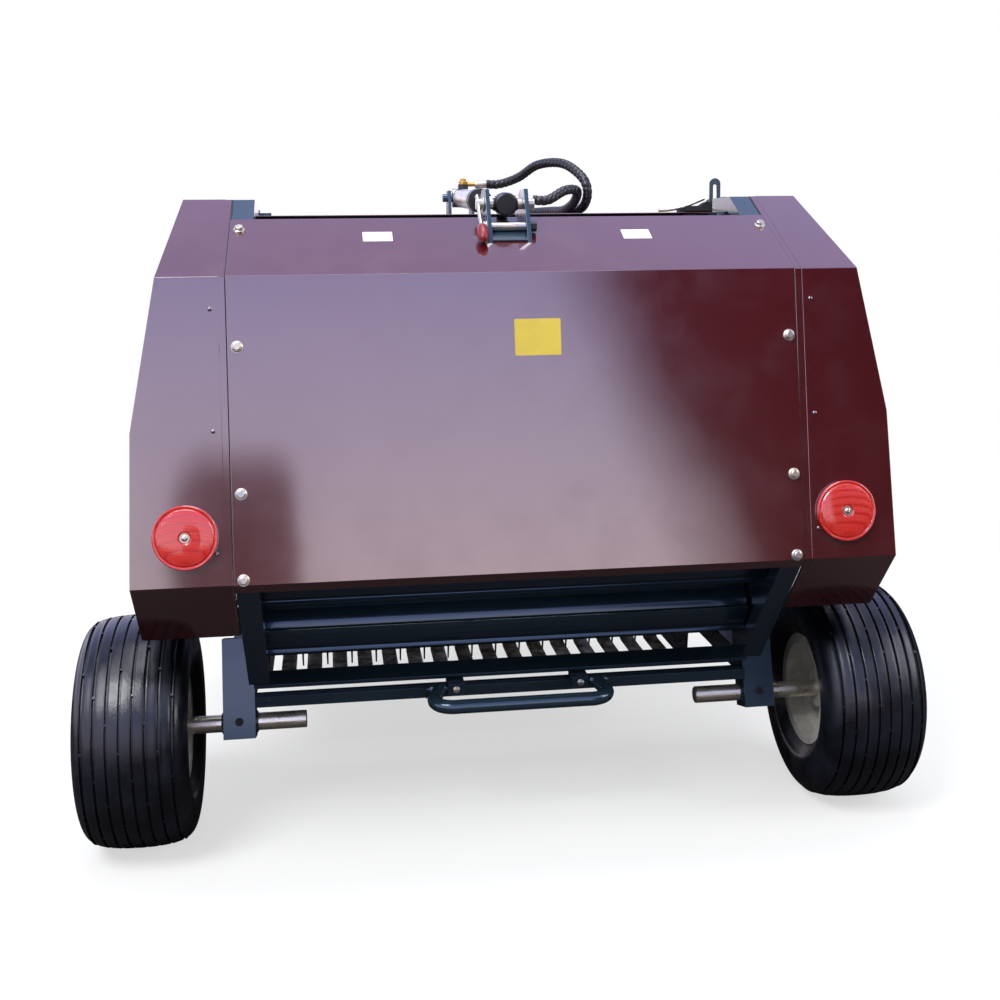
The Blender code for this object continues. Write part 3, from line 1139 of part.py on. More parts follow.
def pickup():
    """Stripper bands bent round the reel, fixed to two bars behind it, and the tined reel in them."""
    half = WALL_INNER_X - SEAT_GAP
    inner = BAND_RADIUS - BAND_THICKNESS
    bar_y = REEL_Y - BAND_BAR_BACK
    leg_end = bar_y - BAND_BAR_DEPTH / 4
    outline = (arc((REEL_Y, REEL_Z), BAND_RADIUS, -90, 90, BAND_STEPS)
               + [(leg_end, REEL_Z + BAND_RADIUS), (leg_end, REEL_Z + inner)]
               + arc((REEL_Y, REEL_Z), inner, 90, -90, BAND_STEPS)
               + [(leg_end, REEL_Z - inner), (leg_end, REEL_Z - BAND_RADIUS)])
    bands = []
    for number in range(BAND_COUNT):
        middle = (number - (BAND_COUNT - 1) / 2) * TINE_PITCH
        bands.append(slab("band_%d" % number, [outline], middle - BAND_WIDTH / 2, middle + BAND_WIDTH / 2))
    bars = []
    for sign in (-1, 1):
        low, high = sorted(REEL_Z + sign * reach
                           for reach in (inner + BAND_THICKNESS / 2, inner - BAND_BAR_HEIGHT))
        bars.append(block("pickup_bands", (-half, bar_y - BAND_BAR_DEPTH / 2, low),
                          (half, bar_y + BAND_BAR_DEPTH / 2, high)))
    combine(bars[0], bands + [bars[1]])
    piece(bars[0], "machine", "band_steel")
    pivot("pickup_reel", (0, REEL_Y, REEL_Z))
    reel_half = half - REEL_END_GAP
    reel = rod_between("pickup_reel", (-reel_half, REEL_Y, REEL_Z), (reel_half, REEL_Y, REEL_Z),
                       REEL_TUBE_RADIUS, 16)
    shaft_end = WALL_OUTER_X + WALL_THICKNESS / 2
    tools = [rod_between("reel_shaft", (-shaft_end, REEL_Y, REEL_Z), (shaft_end, REEL_Y, REEL_Z),
                         REEL_SHAFT_DIAMETER / 2, 12)]
    for row in range(TINE_BARS):
        angle = 2 * pi * row / TINE_BARS + TINE_START_ANGLE
        out = Vector((0, cos(angle), sin(angle)))
        for number in range(BAND_COUNT - 1):
            middle = Vector(((number - (BAND_COUNT - 2) / 2) * TINE_PITCH, REEL_Y, REEL_Z))
            tools.append(rod_between("tine_%d_%d" % (row, number), middle + out * (REEL_TUBE_RADIUS - 0.008),
                                     middle + out * TINE_REACH, TINE_DIAMETER / 2, 4, TINE_TIP_DIAMETER / 2))
    combine(reel, tools)
    piece(reel, "pickup_reel", "spring_steel")


def smooth_route(points, count):
    """Points at even steps along a smooth curve through the route's own points."""
    knots = [Vector(p) for p in points]
    knots = [2 * knots[0] - knots[1]] + knots + [2 * knots[-1] - knots[-2]]
    fine = []
    for before, start, end, after in zip(knots, knots[1:], knots[2:], knots[3:]):
        for step in range(12):
            t = step / 12
            fine.append(0.5 * (2 * start + (end - before) * t
                               + (2 * before - 5 * start + 4 * end - after) * t * t
                               + (3 * start - before - 3 * end + after) * t ** 3))
    fine.append(knots[-2])
    lengths = [0.0]
    for first, second in zip(fine, fine[1:]):
        lengths.append(lengths[-1] + (second - first).length)
    even = []
    index = 0
    for number in range(count):
        at = lengths[-1] * number / (count - 1)
        while index < len(fine) - 2 and lengths[index + 1] < at:
            index += 1
        share = (at - lengths[index]) / (lengths[index + 1] - lengths[index])
        even.append(fine[index].lerp(fine[index + 1], min(share, 1.0)))
    return even


def tube_along(name, points, diameter, resolution):
    """A round tube with closed ends along a chain of points."""
    curve = bpy.data.curves.new(name, "CURVE")
    curve.dimensions = "3D"
    curve.bevel_depth = diameter / 2
    curve.bevel_resolution = resolution
    curve.use_fill_caps = True
    spline = curve.splines.new("POLY")
    spline.points.add(len(points) - 1)
    for target, point in zip(spline.points, points):
        target.co = (point[0], point[1], point[2], 1)
    return finish_object(name, curve)


def as_mesh(thing):
    """The same curve object as a closed mesh, so that it can be joined."""
    name = thing.name
    place = thing.matrix_world.copy()
    mesh = bpy.data.meshes.new_from_object(thing.evaluated_get(bpy.context.evaluated_depsgraph_get()))
    bpy.data.objects.remove(thing, do_unlink=True)
    shape = bmesh.new()
    shape.from_mesh(mesh)
    bmesh.ops.remove_doubles(shape, verts=shape.verts, dist=0.00001)
    bmesh.ops.transform(shape, matrix=place, verts=shape.verts)
    return from_bmesh(name, shape)


def rear_bar():
    """The U-shaped bar that hinges under the rear beams."""
    middle_x, hinge_y, hinge_z = REAR_BAR_MIDDLE_X, REAR_BAR_HINGE_Y, REAR_BAR_HINGE_Z
    pivot("rear_bar", (middle_x, hinge_y, hinge_z))
    rear_y, rear_z = hinge_y - REAR_BAR_REACH, hinge_z - REAR_BAR_FALL
    half, bend = REAR_BAR_HALF_WIDTH, REAR_BAR_BEND
    fall = REAR_BAR_FALL / 12
    # One side, as x from the middle, y, z
    right = [(half - 0.013, hinge_y - 0.010, hinge_z), (half - 0.004, rear_y + bend * 1.3, rear_z + 6 * fall),
             (half, rear_y + bend * 0.8, rear_z + 3 * fall),
             (half - bend * 0.3, rear_y + bend * 0.25, rear_z + fall), (half - bend * 0.9, rear_y, rear_z),
             (half - bend * 1.6, rear_y, rear_z)]
    path = [(middle_x - x, y, z) for x, y, z in right]
    path += [(middle_x + x, y, z) for x, y, z in right[::-1]]
    bar = as_mesh(tube_along("rear_bar", path, REAR_BAR_DIAMETER, 2))
    eyes = []
    bores = []
    for side, sign in both_sides():
        low, high = sorted(middle_x + sign * x for x in (REAR_BAR_BLOCK_X[1] + 0.002, half + 0.008))
        eyes.append(rod_between("bar_eye_" + side, (low, hinge_y, hinge_z), (high, hinge_y, hinge_z),
                                REAR_BAR_EYE_DIAMETER / 2, 14))
        bores.append(rod_between("bar_bore_" + side, (low - 0.01, hinge_y, hinge_z),
                                 (high + 0.01, hinge_y, hinge_z), REAR_BAR_PIN_DIAMETER / 2 + SHAFT_PLAY, 12))
    combine(bar, eyes)
    combine(bar, bores, "DIFFERENCE")
    piece(bar, "rear_bar", "blue_grey_enamel")


def crop_guard():
    """The row of rods that hangs over the pickup."""
    pivot("crop_guard", (0, GUARD_Y, GUARD_Z))
    half = WALL_INNER_X - GUARD_END_GAP
    tube = rod_between("crop_guard", (-half, GUARD_Y, GUARD_Z), (half, GUARD_Y, GUARD_Z),
                       GUARD_TUBE_DIAMETER / 2, 14)
    shaft_end = WALL_OUTER_X + 0.004
    rods = [rod_between("guard_shaft", (-shaft_end, GUARD_Y, GUARD_Z), (shaft_end, GUARD_Y, GUARD_Z),
                        GUARD_SHAFT_DIAMETER / 2, 12)]
    reach = Vector((0, -cos(GUARD_ROD_FALL), -sin(GUARD_ROD_FALL))) * GUARD_ROD_LENGTH
    pitch = 2 * (half - GUARD_ROD_INSET) / (GUARD_RODS - 1)
    for number in range(GUARD_RODS):
        foot = Vector(((number - (GUARD_RODS - 1) / 2) * pitch, GUARD_Y, GUARD_Z))
        rods.append(rod_between("guard_rod_%d" % number, foot, foot + reach, GUARD_ROD_DIAMETER / 2, 6))
    combine(tube, rods)
    piece(tube, "crop_guard", "blue_grey_enamel")


def twine_box():
    """The open bin for twine on the front beam, and its lid."""
    low_x, high_x = TWINE_BOX_X
    base = BEAM_TOP_Z + SEAT_GAP
    near = FRONT_Y + SHEET + SEAT_GAP
    far = near + TWINE_BOX_DEPTH
    wall = TWINE_BOX_WALL
    top = base + TWINE_BOX_HEIGHT
    pin_y, pin_z = near + TWINE_PIN_AHEAD, top + TWINE_PIN_OVER
    outer = block("twine_box", (low_x, near, base), (high_x, far, top))
    inner = block("twine_bin", (low_x + wall, near + wall, base + wall),
                  (high_x - wall, far - wall, top + 0.02))
    pin = rod_between("twine_lid_pin", (low_x + TWINE_PIN_INSET, pin_y, pin_z),
                      (high_x - TWINE_PIN_INSET, pin_y, pin_z), TWINE_PIN_DIAMETER / 2, 10)
    posts = [block("twine_lid_post_%d" % number, (x, near + 0.001, top - 0.010),
                   (x + TWINE_POST_WIDTH, pin_y + TWINE_PIN_OVER, pin_z + 0.006))
             for number, x in enumerate((low_x + TWINE_PIN_INSET - 0.005,
                                         high_x - TWINE_PIN_INSET + 0.005 - TWINE_POST_WIDTH))]
    combine(outer, (inner,), "DIFFERENCE")
    combine(outer, posts + [pin])
    piece(outer, "machine", "maroon_enamel")
    pivot("twine_lid", ((low_x + high_x) / 2, pin_y, pin_z))
    lid_low = top + SEAT_GAP
    lid = block("twine_lid", (low_x - TWINE_LID_THICKNESS, near + TWINE_LID_BACK_GAP, lid_low),
                (high_x + TWINE_LID_THICKNESS, far + TWINE_LID_THICKNESS, lid_low + TWINE_LID_THICKNESS))
    tabs = []
    bores = []
    eye_inset = TWINE_PIN_INSET + TWINE_POST_WIDTH
    for number, x in enumerate((low_x + eye_inset, high_x - eye_inset - TWINE_EYE_LENGTH)):
        tabs.append(block("lid_tab_%d" % number, (x, pin_y + 0.002, lid_low + 0.0005),
                          (x + TWINE_EYE_LENGTH, near + TWINE_LID_BACK_GAP + 0.004, lid_low + 0.0024)))
        tabs.append(rod_between("lid_eye_%d" % number, (x, pin_y, pin_z), (x + TWINE_EYE_LENGTH, pin_y, pin_z),
                                TWINE_EYE_DIAMETER / 2, 12))
        bores.append(rod_between("lid_bore_%d" % number, (x - 0.01, pin_y, pin_z),
                                 (x + TWINE_EYE_LENGTH + 0.01, pin_y, pin_z),
                                 TWINE_PIN_DIAMETER / 2 + SHAFT_PLAY, 10))
    combine(lid, tabs)
    combine(lid, bores, "DIFFERENCE")
    piece(lid, "twine_lid", "maroon_enamel")


# The hoses' routes, chosen by hand, as (x, y, z)
LIFT_HOSE_ROUTE = (
    (0.0590, 0.9901, 1.3353), (0.0930, 0.9901, 1.3360), (0.134, 0.955, 1.350), (0.172, 0.890, 1.376),
    (0.218, 0.810, 1.374), (0.252, 0.745, 1.338), (0.262, 0.735, 1.300), (0.256, 0.775, 1.269),
    (0.236, 0.850, 1.2650), (0.200, 0.960, 1.2650), (0.163, 1.050, 1.2655), (0.143, 1.122, 1.266),
    (0.132, 1.175, 1.212), (0.126, 1.2080, 1.145), (0.1235, 1.2085, 1.000), (0.1230, 1.2085, 0.800),
    (0.1230, 1.2150, 0.690), (0.123, 1.245, 0.610), (0.121, 1.330, 0.530), (0.112, 1.440, 0.480),
    (0.080, 1.570, 0.4645), (0.034, 1.690, 0.4640), (0.0185, 1.735, 0.4640), (0.0175, 1.760, 0.4640))
LOWER_HOSE_ROUTE = (
    (0.1230, 0.6645, 1.2840), (0.1570, 0.6650, 1.2845), (0.200, 0.686, 1.306), (0.232, 0.712, 1.306),
    (0.234, 0.750, 1.283), (0.220, 0.805, 1.2655), (0.200, 0.880, 1.2650), (0.168, 0.970, 1.2650),
    (0.134, 1.050, 1.2655), (0.115, 1.122, 1.266), (0.105, 1.175, 1.212), (0.0995, 1.2080, 1.145),
    (0.0975, 1.2085, 1.000), (0.0970, 1.2085, 0.800), (0.0970, 1.2150, 0.690), (0.0970, 1.245, 0.610),
    (0.0960, 1.330, 0.530), (0.0860, 1.440, 0.480), (0.046, 1.570, 0.4645), (-0.003, 1.690, 0.4640),
    (-0.0170, 1.735, 0.4640), (-0.0175, 1.760, 0.4640))


def hoses():
    """The two hydraulic hoses, from the cylinder to their couplers, parked on the drawbar."""
    for name, route in (("lift", LIFT_HOSE_ROUTE), ("lower", LOWER_HOSE_ROUTE)):
        hose = tube_along("hose_" + name, smooth_route(route, HOSE_POINTS), HOSE_DIAMETER, 2)
        piece(hose, "machine", "hose_rubber")
        x, y, z = route[-1]
        coupler = rod_between("hose_coupler_" + name, (x, y + 0.0015, z), (x, y + COUPLER_LENGTH, z),
                              COUPLER_DIAMETER / 2, 12)
        collar = rod_between("coupler_collar_" + name, (x, y + 0.012, z), (x, y + 0.032, z),
                             COUPLER_DIAMETER / 2 - 0.002, 12, COUPLER_DIAMETER / 2)
        combine(coupler, (collar,))
        piece(coupler, "machine", "zinc_plate")


def build():
    """Make every piece."""
    start_scene()
    pivot("machine", (0, -MACHINE_MIDDLE_Y, 0))
    wheels()
    rollers()
    tailgate()
    cylinder()
    front_walls()
    chain("gate_chain", "tailgate", GATE_ROLLER_ANGLES)
    chain("front_chain", "machine", FRONT_ROLLER_ANGLES[1:5])
    hood()
    side_doors()
    lower_frame()
    drawbar()
    gearbox()
    pickup()
    rear_bar()
    crop_guard()
    twine_box()
    hoses()


build()
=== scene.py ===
"""Looks of a towed mini round baler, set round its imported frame.

Metres, +Z up, +X to the machine's right seen from behind, +Y towards the drawbar.
Places that are read off the machine's own drawing count y from the foot of the rear panel, and
place() brings them to the frame. A profile is a row of (along its axis, radius), an outline a row
of points in a plane, and a route a row of points of the drawing that a smooth line runs through.
"""
from math import atan2, ceil, cos, hypot, pi, radians, sin, tan

import bmesh
import bpy
from mathutils import Matrix, Vector

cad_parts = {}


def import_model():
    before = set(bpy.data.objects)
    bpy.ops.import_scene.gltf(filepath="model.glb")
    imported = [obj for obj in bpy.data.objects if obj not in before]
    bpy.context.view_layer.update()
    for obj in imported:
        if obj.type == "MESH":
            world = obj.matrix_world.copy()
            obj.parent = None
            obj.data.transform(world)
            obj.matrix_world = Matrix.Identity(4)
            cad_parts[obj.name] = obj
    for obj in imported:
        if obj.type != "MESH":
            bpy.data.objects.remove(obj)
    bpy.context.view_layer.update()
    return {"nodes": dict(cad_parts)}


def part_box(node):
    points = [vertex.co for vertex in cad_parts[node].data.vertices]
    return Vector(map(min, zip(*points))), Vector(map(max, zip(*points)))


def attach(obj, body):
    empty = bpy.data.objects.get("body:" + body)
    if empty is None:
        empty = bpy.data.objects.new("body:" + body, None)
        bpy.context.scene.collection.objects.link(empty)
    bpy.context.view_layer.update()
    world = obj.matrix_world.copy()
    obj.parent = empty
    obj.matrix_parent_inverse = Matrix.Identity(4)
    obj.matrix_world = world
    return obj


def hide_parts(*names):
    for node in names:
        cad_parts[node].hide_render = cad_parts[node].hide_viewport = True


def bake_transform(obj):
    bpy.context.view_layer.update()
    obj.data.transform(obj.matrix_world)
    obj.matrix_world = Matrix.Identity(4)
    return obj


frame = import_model()

MIDDLE_Y = 0.971              # from the rear panel's foot to the frame's origin
WALL_X = 0.506                # outer faces of the chamber's walls
FOOT_Z = 0.605                # foot of the rear panel
KNEE = (0.085, 1.135)         # the rear sheet's bends, as (y, z)
CREST = (0.345, 1.277)
PANEL_LEAN = atan2(KNEE[0], KNEE[1] - FOOT_Z)
TOP_LEAN = atan2(CREST[1] - KNEE[1], CREST[0] - KNEE[0])
PANEL_OUT = Vector((0, -cos(PANEL_LEAN), sin(PANEL_LEAN)))
TOP_OUT = Vector((0, -sin(TOP_LEAN), cos(TOP_LEAN)))
SHEET_FACE = 0.0023           # from the frame's line to the sheet's outer face
SIGNS = (-1, 1)
SIDES = (("left", -1), ("right", 1))
RIGHT, AHEAD, UP = Vector((1, 0, 0)), Vector((0, 1, 0)), Vector((0, 0, 1))
POLE = 0.0001                 # the radius that closes a profile on its axis
MAROON, BLUE, BLACK, ZINC = "maroon_enamel", "blue_grey_enamel", "black_enamel", "zinc_plate"


def place(x, y, z):
    """A point of the machine's own drawing, in the frame."""
    return Vector((x, y - MIDDLE_Y, z))


def centre_of(node):
    """The middle of a CAD node's box."""
    low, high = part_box(node)
    return (low + high) / 2


# Materials

def linear(code):
    """An sRGB hex colour as the linear RGBA that a shader takes."""
    parts = [int(code[i:i + 2], 16) / 255 for i in (1, 3, 5)]
    return tuple(c / 12.92 if c <= 0.04045 else ((c + 0.055) / 1.055) ** 2.4 for c in parts) + (1.0,)


def add(tree, kind, settings=None, links=None):
    """Add a node; settings go to its inputs or properties, links join its inputs to sockets."""
    node = tree.nodes.new(kind)
    for name, value in (settings or {}).items():
        if name in node.inputs:
            node.inputs[name].default_value = value
        else:
            setattr(node, name, value)
    for name, socket in (links or {}).items():
        if isinstance(socket, float):
            node.inputs[name].default_value = socket
        else:
            tree.links.new(socket, node.inputs[name])
    return node


def between(tree, value, low, high, bottom=0.0, top=1.0):
    """A value's stretch from low to high, spread from bottom to top."""
    settings = {"From Min": low, "From Max": high, "To Min": bottom, "To Max": top}
    return add(tree, "ShaderNodeMapRange", settings, {"Value": value}).outputs["Result"]


def mixed(tree, share, first, second):
    """Two colours mixed by a share; each is a hex code or a socket."""
    node = add(tree, "ShaderNodeMix", {"data_type": "RGBA"}, {"Factor": share})
    for socket, colour in ((node.inputs[6], first), (node.inputs[7], second)):
        if isinstance(colour, str):
            socket.default_value = linear(colour)
        else:
            tree.links.new(colour, socket)
    return node.outputs[2]


class Finish:
    """A named material in the making: its node tree, its shader and what feeds them."""

    def __init__(self, name, colour, roughness, metallic=0.0, **shader):
        self.material = bpy.data.materials.new(name)
        self.material.use_nodes = True
        self.tree = self.material.node_tree
        self.body = self.tree.nodes["Principled BSDF"]
        shader.update(Base_Color=linear(colour), Roughness=roughness, Metallic=metallic)
        for socket, value in shader.items():
            self.body.inputs[socket.replace("_", " ")].default_value = value
        # Object coordinates are metres in the frame
        self.metres = add(self.tree, "ShaderNodeTexCoord").outputs["Object"]
        self.normal = None

    def noise(self, millimetres, detail, rough=0.5):
        """A noise whose lumps are about so many millimetres across."""
        settings = {"Scale": 500.0 / millimetres, "Detail": detail, "Roughness": rough}
        return add(self.tree, "ShaderNodeTexNoise", settings, {"Vector": self.metres}).outputs["Fac"]

    def clouds(self, millimetres, detail, low, high, bottom=0.0, top=1.0, rough=0.5):
        """Such a noise, its stretch from low to high spread from bottom to top."""
        return between(self.tree, self.noise(millimetres, detail, rough), low, high, bottom, top)

    def tint(self, share, first, second):
        """Mix the base colour from two."""
        self.tree.links.new(mixed(self.tree, share, first, second), self.body.inputs["Base Color"])

    def dull(self, roughness):
        """Feed the roughness."""
        self.tree.links.new(roughness, self.body.inputs["Roughness"])

    def relief(self, height, millimetres):
        """Relief of a height map, its full range so many millimetres deep, on top of any before."""
        links = {"Height": height}
        if self.normal:
            links["Normal"] = self.normal
        settings = {"Distance": millimetres / 1000, "Strength": 1.0}
        self.normal = add(self.tree, "ShaderNodeBump", settings, links).outputs["Normal"]
        self.tree.links.new(self.normal, self.body.inputs["Normal"])


def enamel(name, colour, shade, roughness, peel, coat=1.0, tint="#ffffff"):
    """Two-pack enamel sprayed on sheet steel: a wet gloss with orange peel, a little dust that dulls it."""
    finish = Finish(name, colour, roughness, IOR=1.70, Coat_Weight=coat, Coat_IOR=1.95,
                    Coat_Roughness=0.05, Specular_Tint=linear(tint))
    finish.tint(finish.clouds(260, 4, 0.3, 0.7), colour, shade)
    finish.dull(finish.clouds(45, 6, 0.45, 0.80, roughness, roughness + 0.12, 0.65))
    finish.relief(finish.noise(5, 2), peel)
    finish.relief(finish.noise(340, 1), 1.4)
    return finish


def rubber(name):
    """Moulded tyre rubber: black with a blue tint, waxy on the ribs, with fine mould grain; the blue tint
    and the lighter blue-grey patches are a painted bluish sheen, the patches also a film of dust.
    """
    finish = Finish(name, "#0e0f12", 0.34, IOR=1.52)
    # Painted bluish sheen: the lighter blue-grey patches stand for the sky's sheen on the rubber, and for a
    # film of dust
    finish.tint(finish.clouds(60, 5, 0.45, 0.80, rough=0.6), "#090c12", "#1d2430")
    finish.dull(finish.clouds(30, 5, 0.35, 0.7, 0.24, 0.46))
    finish.relief(finish.noise(3, 4, 0.6), 0.35)
    return finish


def rim_paint(name):
    """Off-white stove enamel on pressed steel, with road film in patches."""
    finish = Finish(name, "#d6d3c8", 0.38, IOR=1.5)
    finish.tint(finish.clouds(35, 6, 0.50, 0.78, rough=0.7), "#dad7cd", "#a59d8c")
    finish.relief(finish.noise(6, 2), 0.10)
    return finish


def turned_steel(name):
    """Turned bar, bright: fine tool rings round its axis, drawn coarse enough to show."""
    finish = Finish(name, "#e0dac8", 0.26, 0.85)
    settings = {"Scale": 105.0, "Distortion": 0.6, "bands_direction": "X"}
    rings = add(finish.tree, "ShaderNodeTexWave", settings, {"Vector": finish.metres}).outputs["Fac"]
    finish.dull(finish.clouds(18, 5, 0.3, 0.75, 0.18, 0.42))
    finish.relief(rings, 0.05)
    return finish


def plated(name, colour, second, roughness):
    """Electroplated steel: soft metal gloss, its tint drifting in small patches."""
    finish = Finish(name, colour, roughness, 1.0)
    finish.tint(finish.clouds(14, 3, 0.35, 0.65), colour, second)
    finish.dull(finish.clouds(5, 4, 0.3, 0.7, roughness - 0.06, roughness + 0.14))
    return finish


def painted(name, colour, roughness):
    """Brushed paint on steel, semi-matt, with a faint grain."""
    finish = Finish(name, colour, roughness, IOR=1.5)
    finish.dull(finish.clouds(12, 4, 0.3, 0.7, roughness - 0.08, roughness + 0.10))
    finish.relief(finish.noise(4, 3), 0.12)
    return finish


def rusty_steel(name):
    """Bare pressed strip, once painted: pale where the crop polishes it, brown rust between; all its tones
    are lightened as painted light, for bands that sit in the body's shadow.
    """
    finish = Finish(name, "#a08d6c", 0.5, 0.1)
    patches = finish.noise(28, 6, 0.7)
    brown = mixed(finish.tree, finish.clouds(6, 5, 0.35, 0.7), "#7d6848", "#a08d6c")
    # Both the brown and the pale tones are lighter than the strip's own, as painted light against the body's
    # shadow
    finish.tint(between(finish.tree, patches, 0.42, 0.62), brown, "#e4dcc8")
    finish.dull(between(finish.tree, patches, 0.42, 0.62, 0.62, 0.34))
    finish.relief(finish.noise(4, 5), 0.25)
    return finish


def lens(name):
    """Moulded acrylic reflector: clear red over a prism grid, its 2.5 mm cells drawn as they are."""
    finish = Finish(name, "#e8332b", 0.12, IOR=1.49, Coat_Weight=1.0, Coat_Roughness=0.03)
    settings = {"Scale": 400.0, "feature": "DISTANCE_TO_EDGE", "Randomness": 0.0}
    cells = add(finish.tree, "ShaderNodeTexVoronoi", settings, {"Vector": finish.metres}).outputs["Distance"]
    finish.tint(between(finish.tree, cells, 0.0, 0.45), "#b8201b", "#f5463a")
    finish.relief(cells, 0.6)
    return finish


def hose_guard(name):
    """Extruded spiral guard over rubber hose: black plastic, low gloss, scuffed in patches."""
    finish = Finish(name, "#0c0d10", 0.36, IOR=1.49)
    finish.tint(finish.clouds(9, 5, 0.45, 0.75), "#0a0b0e", "#1c1d22")
    finish.relief(finish.noise(3, 3), 0.15)
    return finish


def vinyl(name, colour, aged):
    """Vinyl film without print: plain satin, a touch darker where it has aged."""
    finish = Finish(name, colour, 0.35, IOR=1.5)
    finish.tint(finish.clouds(22, 4, 0.4, 0.8), colour, aged)
    return finish


# Columns: name, maker, and what the maker takes after the name
MATERIALS = {name: maker(name, *values).material for name, maker, values in (
    (MAROON, enamel, ("#4c0a10", "#43080d", 0.14, 0.03)),
    (BLUE, enamel, ("#293a48", "#22313e", 0.20, 0.05, 0.25, "#a5cbe8")),
    ("tyre_rubber", rubber, ()),
    ("rim_enamel", rim_paint, ()),
    ("bright_steel", turned_steel, ()),
    (BLACK, painted, ("#17181b", 0.38)),
    (ZINC, plated, ("#cfc7ae", "#b9b9b4", 0.32)),
    ("chain_steel", plated, ("#4d4741", "#2f2b28", 0.45)),
    ("spring_steel", plated, ("#5a4f47", "#3a322d", 0.45)),
    ("reflector_red", lens, ()),
    ("hose_rubber", hose_guard, ()),
    ("band_steel", rusty_steel, ()),
    ("brass", plated, ("#c9a35a", "#b38a42", 0.30)),
    ("red_grip", painted, ("#7a1519", 0.35)),
    ("yellow_vinyl", vinyl, ("#d9bf4a", "#cbb045")),
    ("white_vinyl", vinyl, ("#dfe0de", "#c9cac8")),
    # Near-black matt paint that also serves as painted shade: the shadow line between covers and panel, and
    # the arms' dark set-bolt holes
    ("black_and_painted_shade", painted, ("#0b0c0e", 0.7)),
    ("steel_grey", plated, ("#cbc6b6", "#b3af9f", 0.30)),
    ("chrome", plated, ("#e6e1d2", "#d8d3c4", 0.12)),
)}


# Shapes

def aim(direction, start=(0, 0, 0)):
    """The matrix that takes +Z to a direction and the origin to a point."""
    return Matrix.Translation(start) @ Vector(direction).to_track_quat("Z", "Y").to_matrix().to_4x4()


def drum(shape, start, end, radius, sides=32, end_radius=None):
    """A round bar or a cone between two points."""
    start, end = Vector(start), Vector(end)
    bmesh.ops.create_cone(shape, cap_ends=True, segments=sides, radius1=radius,
                          radius2=radius if end_radius is None else end_radius,
                          depth=(end - start).length, matrix=aim(end - start, (start + end) / 2))


def cross_drum(shape, centre, half, radius, sides):
    """A round bar across the machine, its middle at a point."""
    drum(shape, centre - RIGHT * half, centre + RIGHT * half, radius, sides)


def brick(shape, low, high, matrix=None):
    """A box between two corners, moved by a matrix where one is given."""
    low, high = Vector(low), Vector(high)
    size = high - low
    fit = Matrix.Translation((low + high) / 2) @ Matrix.Diagonal((size.x, size.y, size.z, 1))
    bmesh.ops.create_cube(shape, size=1.0, matrix=(matrix @ fit) if matrix else fit)


def tube(shape, rings):
    """Faces between rings of vertices that follow one another."""
    count = len(rings[0])
    for first, second in zip(rings, rings[1:]):
        for index in range(count):
            following = (index + 1) % count
            shape.faces.new((first[index], first[following], second[following], second[index]))


def lathe(shape, profile, matrix, steps):
    """A closed profile turned about the matrix's Z axis."""
    rings = []
    for step in range(steps):
        angle = 2 * pi * step / steps
        rings.append([shape.verts.new(matrix @ Vector((r * cos(angle), r * sin(angle), along)))
                      for along, r in profile])
    tube(shape, rings + rings[:1])


def sweep(shape, points, radius, sides=16):
    """A tube along points; radius is a number, or a function of (index, turn) with turn from 0 to 1."""
    right = None
    rings = []
    for index, point in enumerate(points):
        ahead = points[min(index + 1, len(points) - 1)] - points[max(index - 1, 0)]
        ahead.normalize()
        right = right or ahead.orthogonal()
        right = (right - ahead * right.dot(ahead)).normalized()
        up = ahead.cross(right)
        ring = []
        for side in range(sides):
            turn = side / sides
            reach = radius(index, turn) if callable(radius) else radius
            spoke = right * cos(2 * pi * turn) + up * sin(2 * pi * turn)
            ring.append(shape.verts.new(point + spoke * reach))
        rings.append(ring)
    tube(shape, rings)
    shape.faces.new(rings[0][::-1])
    shape.faces.new(rings[-1])


def plate(shape, outline, thickness, matrix):
    """A flat plate: an outline in the matrix's XY plane, its thickness along +Z."""
    rings = [[shape.verts.new(matrix @ Vector((x, y, height))) for x, y in outline]
             for height in (0, thickness)]
    tube(shape, rings)
    shape.faces.new(rings[0][::-1])
    shape.faces.new(rings[1])


def slotted(shape, outer, inner, thickness, matrix):
    """A flat plate with one opening; both outlines turn the same way and start on the same side."""
    low_out, high_out, low_in, high_in = [
        [shape.verts.new(matrix @ Vector((x, y, height))) for x, y in outline]
        for outline in (outer, inner) for height in (0, thickness)]
    tube(shape, (low_out, high_out))
    tube(shape, (high_in, low_in))
    count, opening_count = len(outer), len(inner)
    for ring, opening in ((low_out, low_in), (high_out, high_in)):
        for index in range(count):
            following = (index + 1) % count
            a, b = index * opening_count // count, following * opening_count // count
            corners = [ring[index], ring[following], opening[b], opening[a]]
            shape.faces.new(corners[:3] if a == b else corners)


def arc(centre, radius, start, end, steps):
    """Points on an arc, angles in degrees."""
    angles = [radians(start + (end - start) * step / steps) for step in range(steps + 1)]
    return [(centre[0] + radius * cos(angle), centre[1] + radius * sin(angle)) for angle in angles]


def rounded(width, height, corner, steps=4):
    """A rectangle about the origin with rounded corners."""
    outline = []
    for x, y, start in ((1, 1, 0), (-1, 1, 90), (-1, -1, 180), (1, -1, 270)):
        centre = (x * (width / 2 - corner), y * (height / 2 - corner))
        outline += arc(centre, corner, start, start + 90, steps)
    return outline


def moved_path(path, depth):
    """A path in a plane moved `depth` to its right-hand side, its corners mitred."""
    path = [Vector(point) for point in path]
    legs = [(after - before).normalized() for before, after in zip(path, path[1:])]
    moved = []
    for point, first, second in zip(path, legs[:1] + legs, legs + legs[-1:]):
        normal = Vector((first.y + second.y, -(first.x + second.x))).normalized()
        moved.append(point + normal * depth / normal.dot(Vector((first.y, -first.x))))
    return moved


